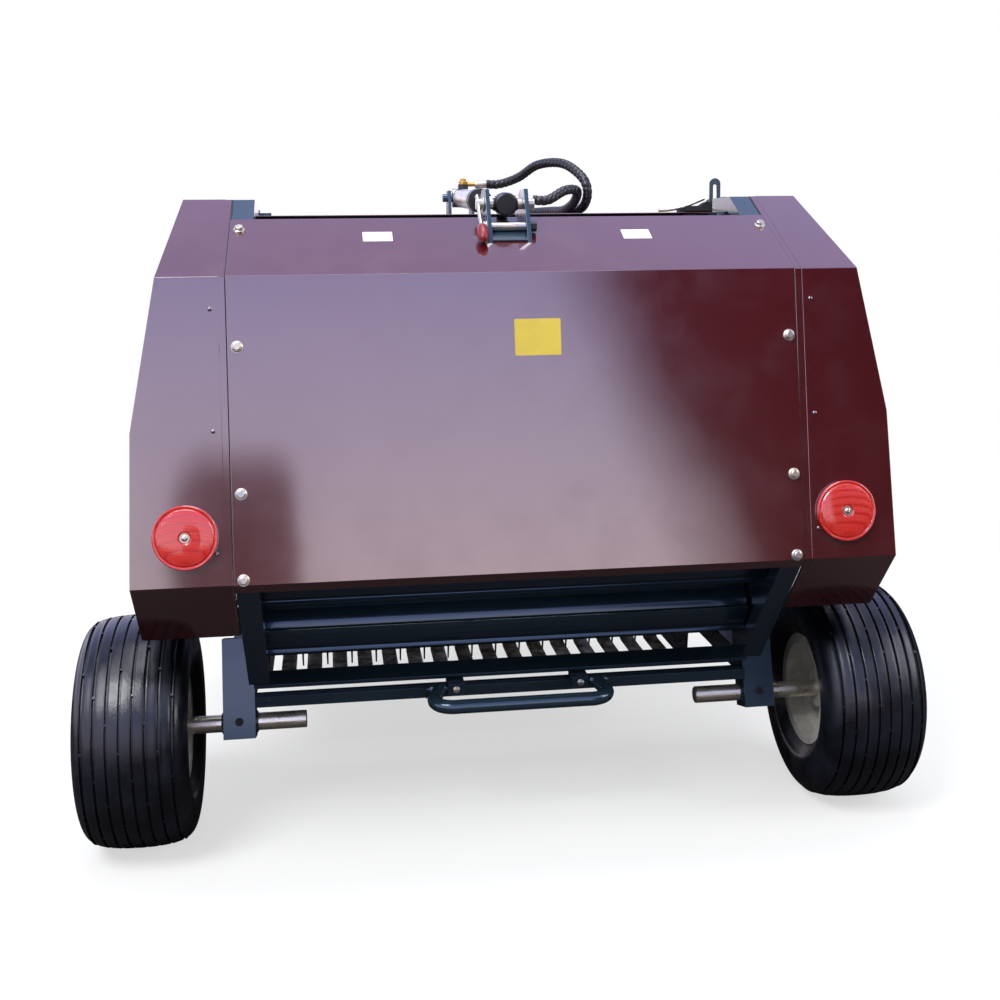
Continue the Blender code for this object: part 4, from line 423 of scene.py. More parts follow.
def across(x, y=-MIDDLE_Y, z=0.0):
    """The matrix of a plate whose outline is in (y, z), its face at x; y and z move the outline."""
    return Matrix(((0, 0, 1, x), (1, 0, 0, y), (0, 1, 0, z), (0, 0, 0, 1)))


def upright(y, x=0.0, z=0.0):
    """The matrix of a plate whose outline is in (x, z), its thickness towards -Y from y."""
    return Matrix(((1, 0, 0, x), (0, 0, -1, y), (0, 1, 0, z), (0, 0, 0, 1)))


def spline(points, steps):
    """A smooth line through all but the first and the last of some points, up to the last but one."""
    line = []
    for p, q, r, s in zip(points, points[1:], points[2:], points[3:]):
        for step in range(steps):
            t = step / steps
            line.append(0.5 * (2 * q + (r - p) * t + (2 * p - 5 * q + 4 * r - s) * t * t
                               + (3 * q - p - 3 * r + s) * t ** 3))
    return line + [points[-2]]


def smooth_route(route, step):
    """Points at about even steps along a route's smooth curve, and its length."""
    knots = [place(*point) for point in route]
    fine = spline([2 * knots[0] - knots[1]] + knots + [2 * knots[-1] - knots[-2]], 24)
    lengths = [0.0]
    for first, second in zip(fine, fine[1:]):
        lengths.append(lengths[-1] + (second - first).length)
    count = ceil(lengths[-1] / step)
    even = []
    index = 0
    for number in range(count + 1):
        at = lengths[-1] * number / count
        while index < len(fine) - 2 and lengths[index + 1] < at:
            index += 1
        share = (at - lengths[index]) / (lengths[index + 1] - lengths[index])
        even.append(fine[index].lerp(fine[index + 1], min(share, 1.0)))
    return even, lengths[-1]


def hex_bolt(shape, at, out, size):
    """A hex head with its flange, standing on a face; `size` is the thread's diameter."""
    at, out = Vector(at), Vector(out).normalized() * size
    # Columns: start and end along the bolt, radii, sides; all but the sides in thread diameters
    for start, end, radius, end_radius, sides in ((0.0, 0.18, 1.12, 1.12, 28), (0.18, 0.30, 1.02, 0.86, 28),
                                                  (0.28, 0.85, 0.86, 0.86, 6), (0.85, 0.95, 0.76, 0.60, 24)):
        drum(shape, at + out * start, at + out * end, size * radius, sides, size * end_radius)


def button_bolt(shape, at, out, radius):
    """A low round head with a socket."""
    profile = [(0.0, 1.0), (0.25, 0.96), (0.50, 0.72), (0.60, 0.40), (0.30, 0.36)]
    profile = [(along * radius, reach * radius) for along, reach in profile]
    lathe(shape, [(0, POLE)] + profile + [(0.28 * radius, POLE)], aim(out, at), 28)


def show(name, data):
    """A new object in the scene."""
    thing = bpy.data.objects.new(name, data)
    bpy.context.scene.collection.objects.link(thing)
    return thing


def soften(thing, width, angle):
    """Round the edges that are sharper than an angle."""
    edges = thing.modifiers.new("Edges", "BEVEL")
    edges.width = width
    edges.segments = 2
    edges.limit_method = "ANGLE"
    edges.angle_limit = radians(angle)
    edges.harden_normals = True


def piece(name, shape, material, body, replaces=(), smooth=30, bevel=0.0):
    """Make a finished object of a shape, riding on its body."""
    bmesh.ops.remove_doubles(shape, verts=shape.verts, dist=0.000002)
    bmesh.ops.recalc_face_normals(shape, faces=shape.faces)
    mesh = bpy.data.meshes.new(name)
    shape.to_mesh(mesh)
    shape.free()
    mesh.materials.append(MATERIALS[material])
    mesh.shade_smooth()
    mesh.set_sharp_from_angle(angle=radians(smooth))
    thing = show(name, mesh)
    if bevel:
        soften(thing, bevel, 35)
    if body:
        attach(thing, body)
    if replaces:
        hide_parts(*replaces)
    return thing


def turned(name, profile, matrix, steps, material, body, replaces=(), smooth=30):
    """A piece that is one turned profile."""
    shape = bmesh.new()
    lathe(shape, profile, matrix, steps)
    return piece(name, shape, material, body, replaces, smooth)


def wire(name, route, step, radius, sides, body):
    """A piece that is one bent zinc-plated rod."""
    shape = bmesh.new()
    sweep(shape, smooth_route(route, step)[0], radius, sides)
    piece(name, shape, ZINC, body, (), 40)


def dress(node, material):
    """A CAD node that stays: its finish, welded corners and slightly rounded edges."""
    thing = frame["nodes"][node]
    mesh = thing.data
    mesh.materials.clear()
    mesh.materials.append(MATERIALS[material])
    if "custom_normal" in mesh.attributes:
        mesh.attributes.remove(mesh.attributes["custom_normal"])
    mesh.shade_smooth()
    weld = thing.modifiers.new("Weld", "WELD")
    weld.merge_threshold = 0.00002
    soften(thing, 0.0008, 28)


# Wheels

TYRE_BEAD = 0.1018
CROWN_SHARE = 0.86            # of the tyre's half width
GROOVE_PITCH = 0.0235
GROOVES = 8
GROOVE_HALF_WIDTH = 0.0022
GROOVE_DEPTH = 0.0065
GROOVE_MARGIN = 0.0012        # points of the crown nearer to a groove's edge are left out
# From a groove's middle in half widths, and the drop below the crown
GROOVE_SECTION = ((-1.35, 0.0), (-1.0, 0.0007), (-0.75, GROOVE_DEPTH),
                  (0.75, GROOVE_DEPTH), (1.0, 0.0007), (1.35, 0.0))
TREAD_TIES = 9                # in each groove
TIE_HALF_LENGTH = 0.0022
TIE_DROP = 0.0009
BEAD_SEAT = 0.1015
RIM_HALF_WIDTH = 0.0848
HUB_BORE = 0.0185
HUB_CAP = ((0.0765, POLE), (0.0765, 0.031), (0.081, 0.0305), (0.0850, 0.026), (0.0865, 0.018),
           (0.0868, POLE))
WHEEL_BOLTS = 5
WHEEL_BOLT_SIZE = 0.011
BOLT_CIRCLE = 0.066
DISC_OUTER_X, DISC_INNER_X = 0.0355, 0.0250    # the disc's faces at the bolts, from the rim's middle


def radius_at(x, section):
    """The tyre's radius at a distance across it, from its section's points."""
    for (x0, r0), (x1, r1) in zip(section, section[1:]):
        if x0 <= x <= x1 and x0 != x1:
            return r0 + (r1 - r0) * (x - x0) / (x1 - x0)
    return section[-1][1]


def tyre(side):
    """A ribbed implement tyre: eight grooves round its crown, and ties that bridge them."""
    low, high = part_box("tyre_" + side)
    centre = (low + high) / 2
    half = (high.x - low.x) / 2
    radius = (high.z - low.z) / 2
    # Across the tyre from its bead to the crown, as (x, radius)
    knots = [Vector(point) for point in (
        (half * 0.80, TYRE_BEAD + 0.0185), (half * 0.90, TYRE_BEAD + 0.034), (half * 0.975, radius * 0.64),
        (half, radius * 0.745), (half * 0.975, radius * 0.84), (half * 0.90, radius * 0.910),
        (half * 0.76, radius * 0.956), (half * 0.55, radius * 0.982), (half * 0.28, radius * 0.996),
        (0.0, radius))]
    outer = [tuple(point) for point in spline(knots[:1] + knots + knots[-1:], 6)]
    section = sorted(outer)
    grooves = [GROOVE_PITCH * (number + 0.5) for number in range(GROOVES // 2)]
    flank = []
    crown = []
    for x, r in outer:
        if x >= half * CROWN_SHARE or r <= radius * 0.9:
            flank.append((x, r))
        elif all(abs(x - middle) > GROOVE_HALF_WIDTH + GROOVE_MARGIN for middle in grooves):
            crown.append((x, r))
    for middle in grooves:
        top = radius_at(middle, section)
        crown += [(middle + offset * GROOVE_HALF_WIDTH, top - drop) for offset, drop in GROOVE_SECTION]
    half_line = [(half * 0.80, TYRE_BEAD), (half * 0.80, TYRE_BEAD + 0.006)] + flank
    half_line += [point for point in sorted(crown, reverse=True) if point[0] > 0.0004]
    profile = half_line + [(0.0, radius)] + [(-x, r) for x, r in half_line[::-1]]
    turned("tread_" + side, profile, aim(RIGHT, centre), 144, "tyre_rubber", "wheel_" + side,
           ["tyre_" + side], 40)
    shape = bmesh.new()
    for number, middle in enumerate([-x for x in grooves[::-1]] + grooves):
        top = radius_at(abs(middle), section)
        for tie in range(TREAD_TIES):
            angle = 2 * pi * (tie + (number % 3) / 3) / TREAD_TIES
            turn = Matrix.Translation(centre) @ Matrix.Rotation(angle, 4, "X")
            brick(shape, (middle - GROOVE_HALF_WIDTH, -TIE_HALF_LENGTH, top - GROOVE_DEPTH),
                  (middle + GROOVE_HALF_WIDTH, TIE_HALF_LENGTH, top - TIE_DROP), turn)
    piece("tread_ties_" + side, shape, "tyre_rubber", "wheel_" + side)


def rim(side, sign):
    """A pressed rim: drop centre, dished disc, hub with its cap, and wheel bolts."""
    low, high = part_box("rim_" + side)
    flange = (high.z - low.z) / 2
    centre = (low + high) / 2
    centre.x = centre_of("tyre_" + side).x
    out = RIGHT * sign
    half, bead = RIM_HALF_WIDTH, BEAD_SEAT
    # One bead seat and flange, from the well outwards, as (from the middle, radius)
    lip = [(0.050, bead - 0.0005), (half - 0.012, bead), (half - 0.005, bead + 0.003),
           (half - 0.0045, flange - 0.003), (half - 0.003, flange), (half - 0.0005, flange - 0.0005),
           (half + 0.0005, flange - 0.004)]
    profile = [(-half, bead - 0.004)] + [(-along, r) for along, r in lip[::-1]]
    profile += [(-0.040, bead - 0.014), (0.040, bead - 0.014)] + lip
    profile += [(half, bead - 0.005), (0.056, bead - 0.006), (0.046, bead - 0.019), (0.037, bead * 0.78),
                (0.034, bead * 0.64), (0.040, 0.050), (0.046, 0.0425), (0.075, 0.0415), (0.076, 0.038),
                (0.076, HUB_BORE), (-0.055, HUB_BORE), (-0.056, 0.0400), (-0.050, 0.0425), (0.026, 0.0425),
                (0.029, 0.050), (0.0235, bead * 0.66), (0.027, bead * 0.80), (0.034, bead - 0.019),
                (-0.041, bead - 0.018), (-0.052, bead - 0.005)]
    wheel = "wheel_" + side
    turned("wheel_rim_" + side, profile, aim(out, centre), 96, "rim_enamel", wheel, ["rim_" + side])
    shape = bmesh.new()
    for number in range(WHEEL_BOLTS):
        angle = 2 * pi * number / WHEEL_BOLTS + 0.3
        spoke = centre + Vector((0, cos(angle), sin(angle))) * BOLT_CIRCLE
        hex_bolt(shape, spoke + out * DISC_OUTER_X, out, WHEEL_BOLT_SIZE)
        hex_bolt(shape, spoke + out * DISC_INNER_X, -out, WHEEL_BOLT_SIZE)
    piece("wheel_bolts_" + side, shape, ZINC, wheel)
    turned("hub_cap_" + side, HUB_CAP, aim(out, centre), 40, ZINC, wheel)


# Chamber rollers, sprockets and chains

ROLLER_RADIUS = 0.060
ROLLER_TUBE = 0.052
ROLLER_RIBS = 6
ROLLER_HALF_LENGTH = 0.494
ROLLER_SHAFT = 0.0148
HALF_RIB = ((-9.0, ROLLER_TUBE), (-7.2, ROLLER_TUBE + 0.0010), (-6.4, ROLLER_TUBE + 0.0030),
            (-5.8, ROLLER_RADIUS - 0.0008), (-5.2, ROLLER_RADIUS))
SPROCKET_TEETH = 13
SPROCKET_TIP = 0.0443
SPROCKET_ROOT = 0.0368
SPROCKET_X = -0.5218
SPROCKET_WIDTH = 0.0076
SPROCKET_HUB_X = -0.5170
SPROCKET_HUB_HALF_WIDTH = 0.0065
SPROCKET_HUB_RADIUS = 0.024
CHAIN_RADIUS = 0.0530         # of the chain's pins round a sprocket
CHAIN_PITCH = 0.0254
LINK_THICKNESS = 0.0014
INNER_LINK_X, OUTER_LINK_X = 0.0031, 0.0047
PIN_HALF_LENGTH, PIN_RADIUS = 0.0068, 0.0025
LINK_ROLLER_HALF_WIDTH, LINK_ROLLER_RADIUS = 0.0030, 0.0060


def roller_section():
    """A tube with six flat bars welded along it, each with a small weld fillet at its feet."""
    rib = HALF_RIB + tuple((-angle, radius) for angle, radius in HALF_RIB[::-1])
    # The tube between two ribs, in seven points
    bare = tuple((9.0 + (360 / ROLLER_RIBS - 18.0) * step / 8, ROLLER_TUBE) for step in range(1, 8))
    outline = []
    for index in range(ROLLER_RIBS):
        for offset, radius in rib + bare:
            angle = radians(360 * index / ROLLER_RIBS + offset)
            outline.append((radius * cos(angle), radius * sin(angle)))
    return outline


def tooth_section(tip, root, teeth):
    """A toothed wheel's outline with round gullets."""
    flank = (tip + root) / 2 + 0.0005
    outline = []
    for tooth in range(teeth):
        for share, radius in ((-0.14, tip - 0.0008), (0.0, tip), (0.14, tip - 0.0008), (0.30, flank),
                              (0.40, root + 0.0008), (0.50, root), (0.60, root + 0.0008), (0.70, flank)):
            angle = 2 * pi * (tooth + share) / teeth
            outline.append((radius * cos(angle), radius * sin(angle)))
    return outline


def roller(name):
    """One ribbed roller with its shaft and its sprocket."""
    low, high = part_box(name)
    x, y, z = (low + high) / 2
    shape = bmesh.new()
    plate(shape, roller_section(), 2 * ROLLER_HALF_LENGTH, across(-ROLLER_HALF_LENGTH, y, z))
    cross_drum(shape, Vector((x, y, z)), (high.x - low.x) / 2, ROLLER_SHAFT, 40)
    piece(name + "_skin", shape, BLUE, name, [name], 20)
    shape = bmesh.new()
    plate(shape, tooth_section(SPROCKET_TIP, SPROCKET_ROOT, SPROCKET_TEETH), SPROCKET_WIDTH,
          across(SPROCKET_X, y, z))
    cross_drum(shape, Vector((SPROCKET_HUB_X, y, z)), SPROCKET_HUB_HALF_WIDTH, SPROCKET_HUB_RADIUS, 32)
    piece(name + "_sprocket", shape, "chain_steel", name, (), 25, 0.0004)


def chain_line(centres, radius, pitch):
    """Points one pitch apart round equal sprockets; the centres run anticlockwise, in (y, z)."""
    spans = []
    for before, centre, after in zip(centres[-1:] + centres[:-1], centres, centres[1:] + centres[:1]):
        arrives = atan2(before[0] - centre[0], centre[1] - before[1])
        leaves = atan2(centre[0] - after[0], after[1] - centre[1])
        turn = (leaves - arrives) % (2 * pi)
        spans.append((centre, centre, arrives, turn, radius * turn))
        spans.append((centre, after, leaves, 0.0, hypot(after[0] - centre[0], after[1] - centre[1])))
    total = sum(span[4] for span in spans)
    count = 2 * round(total / (2 * pitch))
    line = []
    for step in range(count):
        left = total * step / count
        for start, end, angle, turn, length in spans:
            if left < length:
                share = left / length
                normal = Vector((cos(angle + turn * share), sin(angle + turn * share)))
                line.append(Vector(start).lerp(Vector(end), share) + normal * radius)
                break
            left -= length
    return line


def link_outline(length):
    """A waisted link plate between two pins, along +X from the origin."""
    round_end = 0.0076
    waist = 0.0050
    near, far = length / 2 - 0.002, length / 2 + 0.002
    return (arc((length, 0), round_end, -62, 62, 6) + [(far, waist), (near, waist)]
            + arc((0, 0), round_end, 118, 242, 6) + [(near, -waist), (far, -waist)])


def drive_chain(node, body, rollers):
    """A roller chain: waisted plates in pairs, their rollers and the pins' ends."""
    middle = centre_of(node).x
    centres = [tuple(centre_of(name).yz) for name in rollers]
    pins = chain_line(centres, CHAIN_RADIUS, CHAIN_PITCH)
    shape = bmesh.new()
    for index, (start, end) in enumerate(zip(pins, pins[1:] + pins[:1])):
        ahead = end - start
        offset = INNER_LINK_X if index % 2 else OUTER_LINK_X
        for x in (middle - offset - LINK_THICKNESS, middle + offset):
            turn = across(x, *start) @ Matrix.Rotation(atan2(ahead.y, ahead.x), 4, "Z")
            plate(shape, link_outline(ahead.length), LINK_THICKNESS, turn)
        pin = Vector((middle, *start))
        cross_drum(shape, pin, PIN_HALF_LENGTH, PIN_RADIUS, 10)
        cross_drum(shape, pin, LINK_ROLLER_HALF_WIDTH, LINK_ROLLER_RADIUS, 14)
    piece(node + "_links", shape, "chain_steel", body, [node])


# Cylinder, its fittings and its hoses

EAR_PIN = place(0, 0.250, 1.262)
ROOT_PIN = place(0, 1.060, 1.305)
BARREL_START = 0.030          # from the root pin
BARREL_LENGTH = 0.350
ROD_START = 0.330             # from the barrel's start, inside it
BASE_PORT = 0.040
GLAND_PORT = 0.366
BARREL_PROFILE = ((0.000, POLE), (0.000, 0.0215), (0.002, 0.0230), (BARREL_LENGTH, 0.0230),
                  (BARREL_LENGTH, POLE))
GLAND_PROFILE = ((0.349, 0.0130), (0.349, 0.0255), (0.351, 0.0270), (0.362, 0.0270), (0.3635, 0.0258),
                 (0.3665, 0.0258), (0.368, 0.0270), (0.387, 0.0270), (0.390, 0.0250), (0.390, 0.0170),
                 (0.3925, 0.0160), (0.3925, 0.0130))
HEAD_SLEEVE = ((-0.0235, POLE), (-0.0235, 0.0120), (-0.019, 0.0125), (0.019, 0.0125), (0.0235, 0.0120),
               (0.0235, POLE))
HEAD_PROFILE = ((-0.0225, POLE), (-0.0222, 0.0185), (-0.0205, 0.0212), (-0.016, 0.0224), (0.010, 0.0224),
                (0.018, 0.0160), (0.021, 0.0120), (0.021, POLE))


def cylinder():
    """The cylinder: ground barrel with its black gland and cap, rod, ball head and fittings."""
    along = (EAR_PIN - ROOT_PIN).normalized()
    start = ROOT_PIN + along * BARREL_START
    matrix = aim(along, start)
    barrel, rod = "cylinder_barrel", "cylinder_rod"
    shape = bmesh.new()
    lathe(shape, BARREL_PROFILE, matrix, 56)
    drum(shape, ROOT_PIN, start + along * 0.004, 0.0155)
    cross_drum(shape, ROOT_PIN, 0.020, 0.0238, 40)
    piece("barrel_tube", shape, "steel_grey", barrel, [barrel], 25)
    turned("barrel_gland", GLAND_PROFILE, matrix, 64, BLACK, barrel, (), 25)
    shape = bmesh.new()
    lathe(shape, [(0.000, 0.0225), (0.000, 0.0236), (0.012, 0.0236), (0.012, 0.0225)], matrix, 48)
    banjo = start + along * BASE_PORT + UP * 0.034
    drum(shape, banjo - UP * 0.014, banjo, 0.0125, 28)
    piece("barrel_ports", shape, BLACK, barrel, (), 25)
    shape = bmesh.new()
    drum(shape, banjo - UP * 0.004, banjo + UP * 0.006, 0.0105, 28)
    hex_bolt(shape, banjo + UP * 0.004, UP, 0.0105)
    drum(shape, banjo, banjo + RIGHT * 0.034, 0.0052, 20)
    gland_port = start + along * GLAND_PORT
    for first, last, radius, sides in ((0.024, 0.050, 0.0100, 6), (0.048, 0.066, 0.0078, 24),
                                       (0.064, 0.084, 0.0110, 6)):
        drum(shape, gland_port + RIGHT * first, gland_port + RIGHT * last, radius, sides)
    piece("brass_fittings", shape, "brass", barrel, (), 30, 0.0004)
    shape = bmesh.new()
    for base, first, last in ((banjo, 0.030, 0.058), (gland_port, 0.083, 0.122)):
        lathe(shape, [(first, 0.0055), (first, 0.0088), (first + 0.002, 0.0094), (last - 0.003, 0.0094),
                      (last, 0.0088), (last, POLE), (first + 0.001, POLE)], aim(RIGHT, base), 32)
    piece("hose_ferrules", shape, ZINC, barrel)
    shape = bmesh.new()
    drum(shape, start + along * ROD_START, EAR_PIN - along * 0.012, 0.0119, 40)
    piece("rod_bar", shape, "chrome", rod, [rod], 25)
    shape = bmesh.new()
    lathe(shape, HEAD_SLEEVE, aim(RIGHT, EAR_PIN), 32)
    lathe(shape, HEAD_PROFILE, aim(-along, EAR_PIN), 56)
    piece("rod_head", shape, BLACK, rod, (), 25)
    shape = bmesh.new()
    for side in SIGNS:
        drum(shape, EAR_PIN + RIGHT * side * 0.0235, EAR_PIN + RIGHT * side * 0.0325, 0.0098, 28)
    piece("rod_pin", shape, ZINC, rod, (), 25)


HOSE_DIAMETER = 0.022
# The hoses' routes
LIFT_HOSE_ROUTE = (
    (0.0590, 0.9901, 1.3353), (0.0930, 0.9901, 1.3360), (0.134, 0.955, 1.350), (0.172, 0.890, 1.376),
    (0.218, 0.810, 1.374), (0.252, 0.745, 1.338), (0.262, 0.735, 1.300), (0.256, 0.775, 1.269),
    (0.236, 0.850, 1.2650), (0.200, 0.960, 1.2650), (0.163, 1.050, 1.2655), (0.143, 1.122, 1.266),
    (0.132, 1.175, 1.212), (0.126, 1.2080, 1.145), (0.1235, 1.2085, 1.000), (0.1230, 1.2085, 0.800),
    (0.1230, 1.2150, 0.690), (0.123, 1.245, 0.610), (0.121, 1.330, 0.530), (0.112, 1.440, 0.480),
    (0.080, 1.570, 0.4645), (0.034, 1.690, 0.4640), (0.0185, 1.735, 0.4640), (0.0175, 1.760, 0.4640))
LOWER_HOSE_ROUTE = (
    (0.1230, 0.6645, 1.2840), (0.1570, 0.6650, 1.2845), (0.200, 0.686, 1.306), (0.232, 0.712, 1.306),
    (0.234, 0.750, 1.283), (0.220, 0.805, 1.2655), (0.200, 0.880, 1.2650), (0.168, 0.970, 1.2650),
    (0.134, 1.050, 1.2655), (0.115, 1.122, 1.266), (0.105, 1.175, 1.212), (0.0995, 1.2080, 1.145),
    (0.0975, 1.2085, 1.000), (0.0970, 1.2085, 0.800), (0.0970, 1.2150, 0.690), (0.0970, 1.245, 0.610),
    (0.0960, 1.330, 0.530), (0.0860, 1.440, 0.480), (0.046, 1.570, 0.4645), (-0.003, 1.690, 0.4640),
    (-0.0170, 1.735, 0.4640), (-0.0175, 1.760, 0.4640))
GUARD_PITCH = 0.013           # of the spiral guard round a hose
GUARD_STEP = 0.0022
GUARD_GROOVE = 0.0021         # depth between its turns
GUARD_SLOPE = 5.5             # from a groove to a crest, in shares of the depth to a turn
COUPLER_PROFILE = ((0.000, POLE), (0.000, 0.0095), (0.002, 0.0105), (0.010, 0.0105), (0.011, 0.0130),
                   (0.013, 0.0134), (0.020, 0.0134), (0.0205, 0.0126), (0.0220, 0.0126), (0.0225, 0.0134),
                   (0.0295, 0.0134), (0.0310, 0.0125), (0.0320, 0.0100), (0.0470, 0.0100), (0.0490, 0.0088),
                   (0.0535, 0.0080), (0.0535, 0.0050), (0.0440, 0.0045), (0.0440, POLE))


def hose(name, route):
    """A hydraulic hose in its spiral guard, from ferrule to coupler."""
    points, length = smooth_route(route, GUARD_STEP)

    def guard(index, turn):
        """Radius of the guard's flat turns, with a groove between them."""
        phase = (index * GUARD_STEP / GUARD_PITCH + turn) % 1.0
        crest = min(1.0, max(0.0, (0.5 - abs(phase - 0.5)) * GUARD_SLOPE))
        return HOSE_DIAMETER / 2 - GUARD_GROOVE * (1 - crest)

    shape = bmesh.new()
    sweep(shape, points, guard, 18)
    made = piece("hydraulic_hose_" + name, shape, "hose_rubber", None, ["hose_" + name], 50)
    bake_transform(made)
    coupler = "hose_coupler_" + name
    back = centre_of(coupler)
    back.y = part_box(coupler)[0].y
    plug = turned("quick_coupler_" + name, COUPLER_PROFILE, aim(AHEAD, back), 40, ZINC, "frame", [coupler])


# Rear face: bolts, labels, reflectors

REAR_BOLT_X = 0.500
REFLECTOR_PROFILE = ((0.0000, POLE), (0.0000, 0.0545), (0.0015, 0.0560), (0.0080, 0.0560),
                     (0.0095, 0.0545), (0.0090, 0.0515), (0.0080, 0.0505), (0.0100, 0.0480),
                     (0.0112, 0.0400), (0.0118, 0.0250), (0.0120, 0.0120), (0.0105, 0.0095),
                     (0.0105, POLE))
AXLE_RADIUS = 0.0175
AXLE_CHAMFER = 0.0018
COVER_PATH = ((0.1065, 0.482), (0.0, FOOT_Z), KNEE, CREST)


def on_panel(x, z, lift=0.0):
    """A point on the lower rear face of the panel or a cover."""
    return place(x, (z - FOOT_Z) * tan(PANEL_LEAN), z) + PANEL_OUT * lift


def on_top(x, y, lift=0.0):
    """A point on the upper sloped face."""
    return place(x, y, KNEE[1] + (y - KNEE[0]) * tan(TOP_LEAN)) + TOP_OUT * lift


def panel_bolts():
    """Flanged bolts down both edges of the panel and one at the top of each."""
    shape = bmesh.new()
    for sign in SIGNS:
        for z in (1.014, 0.761, 0.6135):
            hex_bolt(shape, on_panel(sign * REAR_BOLT_X, z, SHEET_FACE), PANEL_OUT, 0.0095)
        hex_bolt(shape, on_top(sign * REAR_BOLT_X, 0.232, SHEET_FACE), TOP_OUT, 0.0095)
    piece("panel_bolts", shape, ZINC, "tailgate")


def labels():
    """Blank plates where the machine carries stickers."""
    lift = SHEET_FACE + 0.0001
    for name, point, out, width, height, material in (
            ("plate_middle", on_panel(0.031, 1.020, lift), PANEL_OUT, 0.084, 0.066, "yellow_vinyl"),
            ("plate_left", on_top(-0.246, 0.205, lift), TOP_OUT, 0.055, 0.036, "white_vinyl"),
            ("plate_right", on_top(0.246, 0.205, lift), TOP_OUT, 0.055, 0.036, "white_vinyl")):
        up = (UP - out * UP.dot(out)).normalized()
        turn = Matrix((up.cross(out), up, out)).transposed().to_4x4()
        shape = bmesh.new()
        plate(shape, rounded(width, height, 0.002), 0.0003, Matrix.Translation(point) @ turn)
        piece(name, shape, material, "tailgate")


def reflector(side, sign):
    """A round reflector: moulded rim, lens with a raised ring, and its centre screw."""
    centre = on_panel(sign * 0.597, 0.690, 0.0013)
    turned("reflector_lens_" + side, REFLECTOR_PROFILE, aim(PANEL_OUT, centre), 72, "reflector_red",
           "tailgate", ["reflector_" + side])
    shape = bmesh.new()
    drum(shape, centre + PANEL_OUT * 0.0106, centre + PANEL_OUT * 0.0114, 0.0085, 28)
    button_bolt(shape, centre + PANEL_OUT * 0.0112, PANEL_OUT, 0.0055)
    piece("reflector_screw_" + side, shape, ZINC, "tailgate")


def stub_axle(side):
    """A bright turned bar with a chamfer at each end."""
    low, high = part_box("stub_axle_" + side)
    reach = (high.x - low.x) / 2
    end = [(reach - AXLE_CHAMFER, AXLE_RADIUS), (reach, AXLE_RADIUS - AXLE_CHAMFER), (reach, POLE)]
    profile = [(-along, r) for along, r in end[::-1]] + end
    turned("axle_bar_" + side, profile, aim(RIGHT, (low + high) / 2), 56, "bright_steel", "frame",
           ["stub_axle_" + side])


def cover_lips():
    """The covers' folded inner edges, and a dark strip of painted shade for the shadow line where they meet
    the panel.
    """
    outline = moved_path(COVER_PATH, -0.0002) + moved_path(COVER_PATH, 0.0003)[::-1]
    for name, near, far, material in (("cover_lip_", 0.5190, 0.5304, MAROON),
                                      # The second row is painted shade: a near-black strip that stands for
                                      # the shadow line in the gap to the panel
                                      ("cover_gap_shade_", 0.5156, 0.5189, "black_and_painted_shade")):
        for side, sign in SIDES:
            shape = bmesh.new()
            plate(shape, outline, far - near, across(min(sign * near, sign * far)))
            piece(name + side, shape, material, "tailgate", (), 20)


def cover_rivets():
    """Blind rivets on the covers' folds, over their brackets."""
    shape = bmesh.new()
    for sign in SIGNS:
        for z in (0.660, 0.870, 1.080):
            button_bolt(shape, on_panel(sign * 0.545, z, 0.0008), PANEL_OUT, 0.0042)
        for x, z in ((0.6910, 0.560), (0.6875, 0.800), (0.6610, 1.010)):
            button_bolt(shape, place(sign * x, 0.470, z), Vector((sign, 0, 0.05)), 0.0042)
    piece("cover_rivets", shape, MAROON, "tailgate")


LEVER_ROUTE = ((-0.0520, 0.262, 1.2780), (-0.0520, 0.246, 1.2640), (-0.0520, 0.222, 1.2400),
               (-0.0520, 0.204, 1.2260), (-0.0520, 0.190, 1.2160))
GRIP_PROFILE = ((0.000, POLE), (0.000, 0.0060), (0.003, 0.0085), (0.012, 0.0108), (0.026, 0.0112),
                (0.038, 0.0095), (0.044, 0.0060), (0.046, POLE))


def ear_fittings():
    """The channel's web between the ears, the cross bolt with its nut, and the lever with its grip."""
    gate = "tailgate"
    shape = bmesh.new()
    turn = Matrix.Translation(on_top(0, 0.218, SHEET_FACE + 0.0006)) @ Matrix.Rotation(TOP_LEAN, 4, "X")
    brick(shape, (-0.0328, -0.040, 0.0), (0.0328, 0.004, 0.0035), turn)
    piece("ear_web", shape, BLUE, gate, (), 30, 0.0006)
    bolt = place(0, 0.208, 1.219)
    shape = bmesh.new()
    cross_drum(shape, bolt, 0.0325, 0.0076, 32)
    drum(shape, bolt - RIGHT * 0.0495, bolt - RIGHT * 0.0412, 0.0098, 6)
    drum(shape, bolt - RIGHT * 0.0425, bolt - RIGHT * 0.0411, 0.0112, 28)
    piece("ear_cross_bolt", shape, ZINC, gate, (), 30, 0.0003)
    shape = bmesh.new()
    drum(shape, bolt + RIGHT * 0.0411, bolt + RIGHT * 0.0535, 0.0102, 6)
    piece("ear_bolt_nut", shape, BLACK, gate, (), 30, 0.0004)
    shape = bmesh.new()
    for step in (RIGHT, -RIGHT):
        drum(shape, EAR_PIN + step * 0.0412, EAR_PIN + step * 0.0440, 0.0145)
        drum(shape, EAR_PIN + step * 0.0440, EAR_PIN + step * 0.0560, 0.0104)
    piece("ear_pin_collars", shape, ZINC, gate, (), 30, 0.0004)
    wire("lever_rod", LEVER_ROUTE, 0.003, 0.0038, 20, gate)
    turned("lever_grip", GRIP_PROFILE, aim((0, -0.80, -0.60), place(-0.0520, 0.196, 1.2205)), 40, "red_grip",
           gate, (), 50)


HOOD_TOP_Z = 1.2523
SLOT_X = 0.519


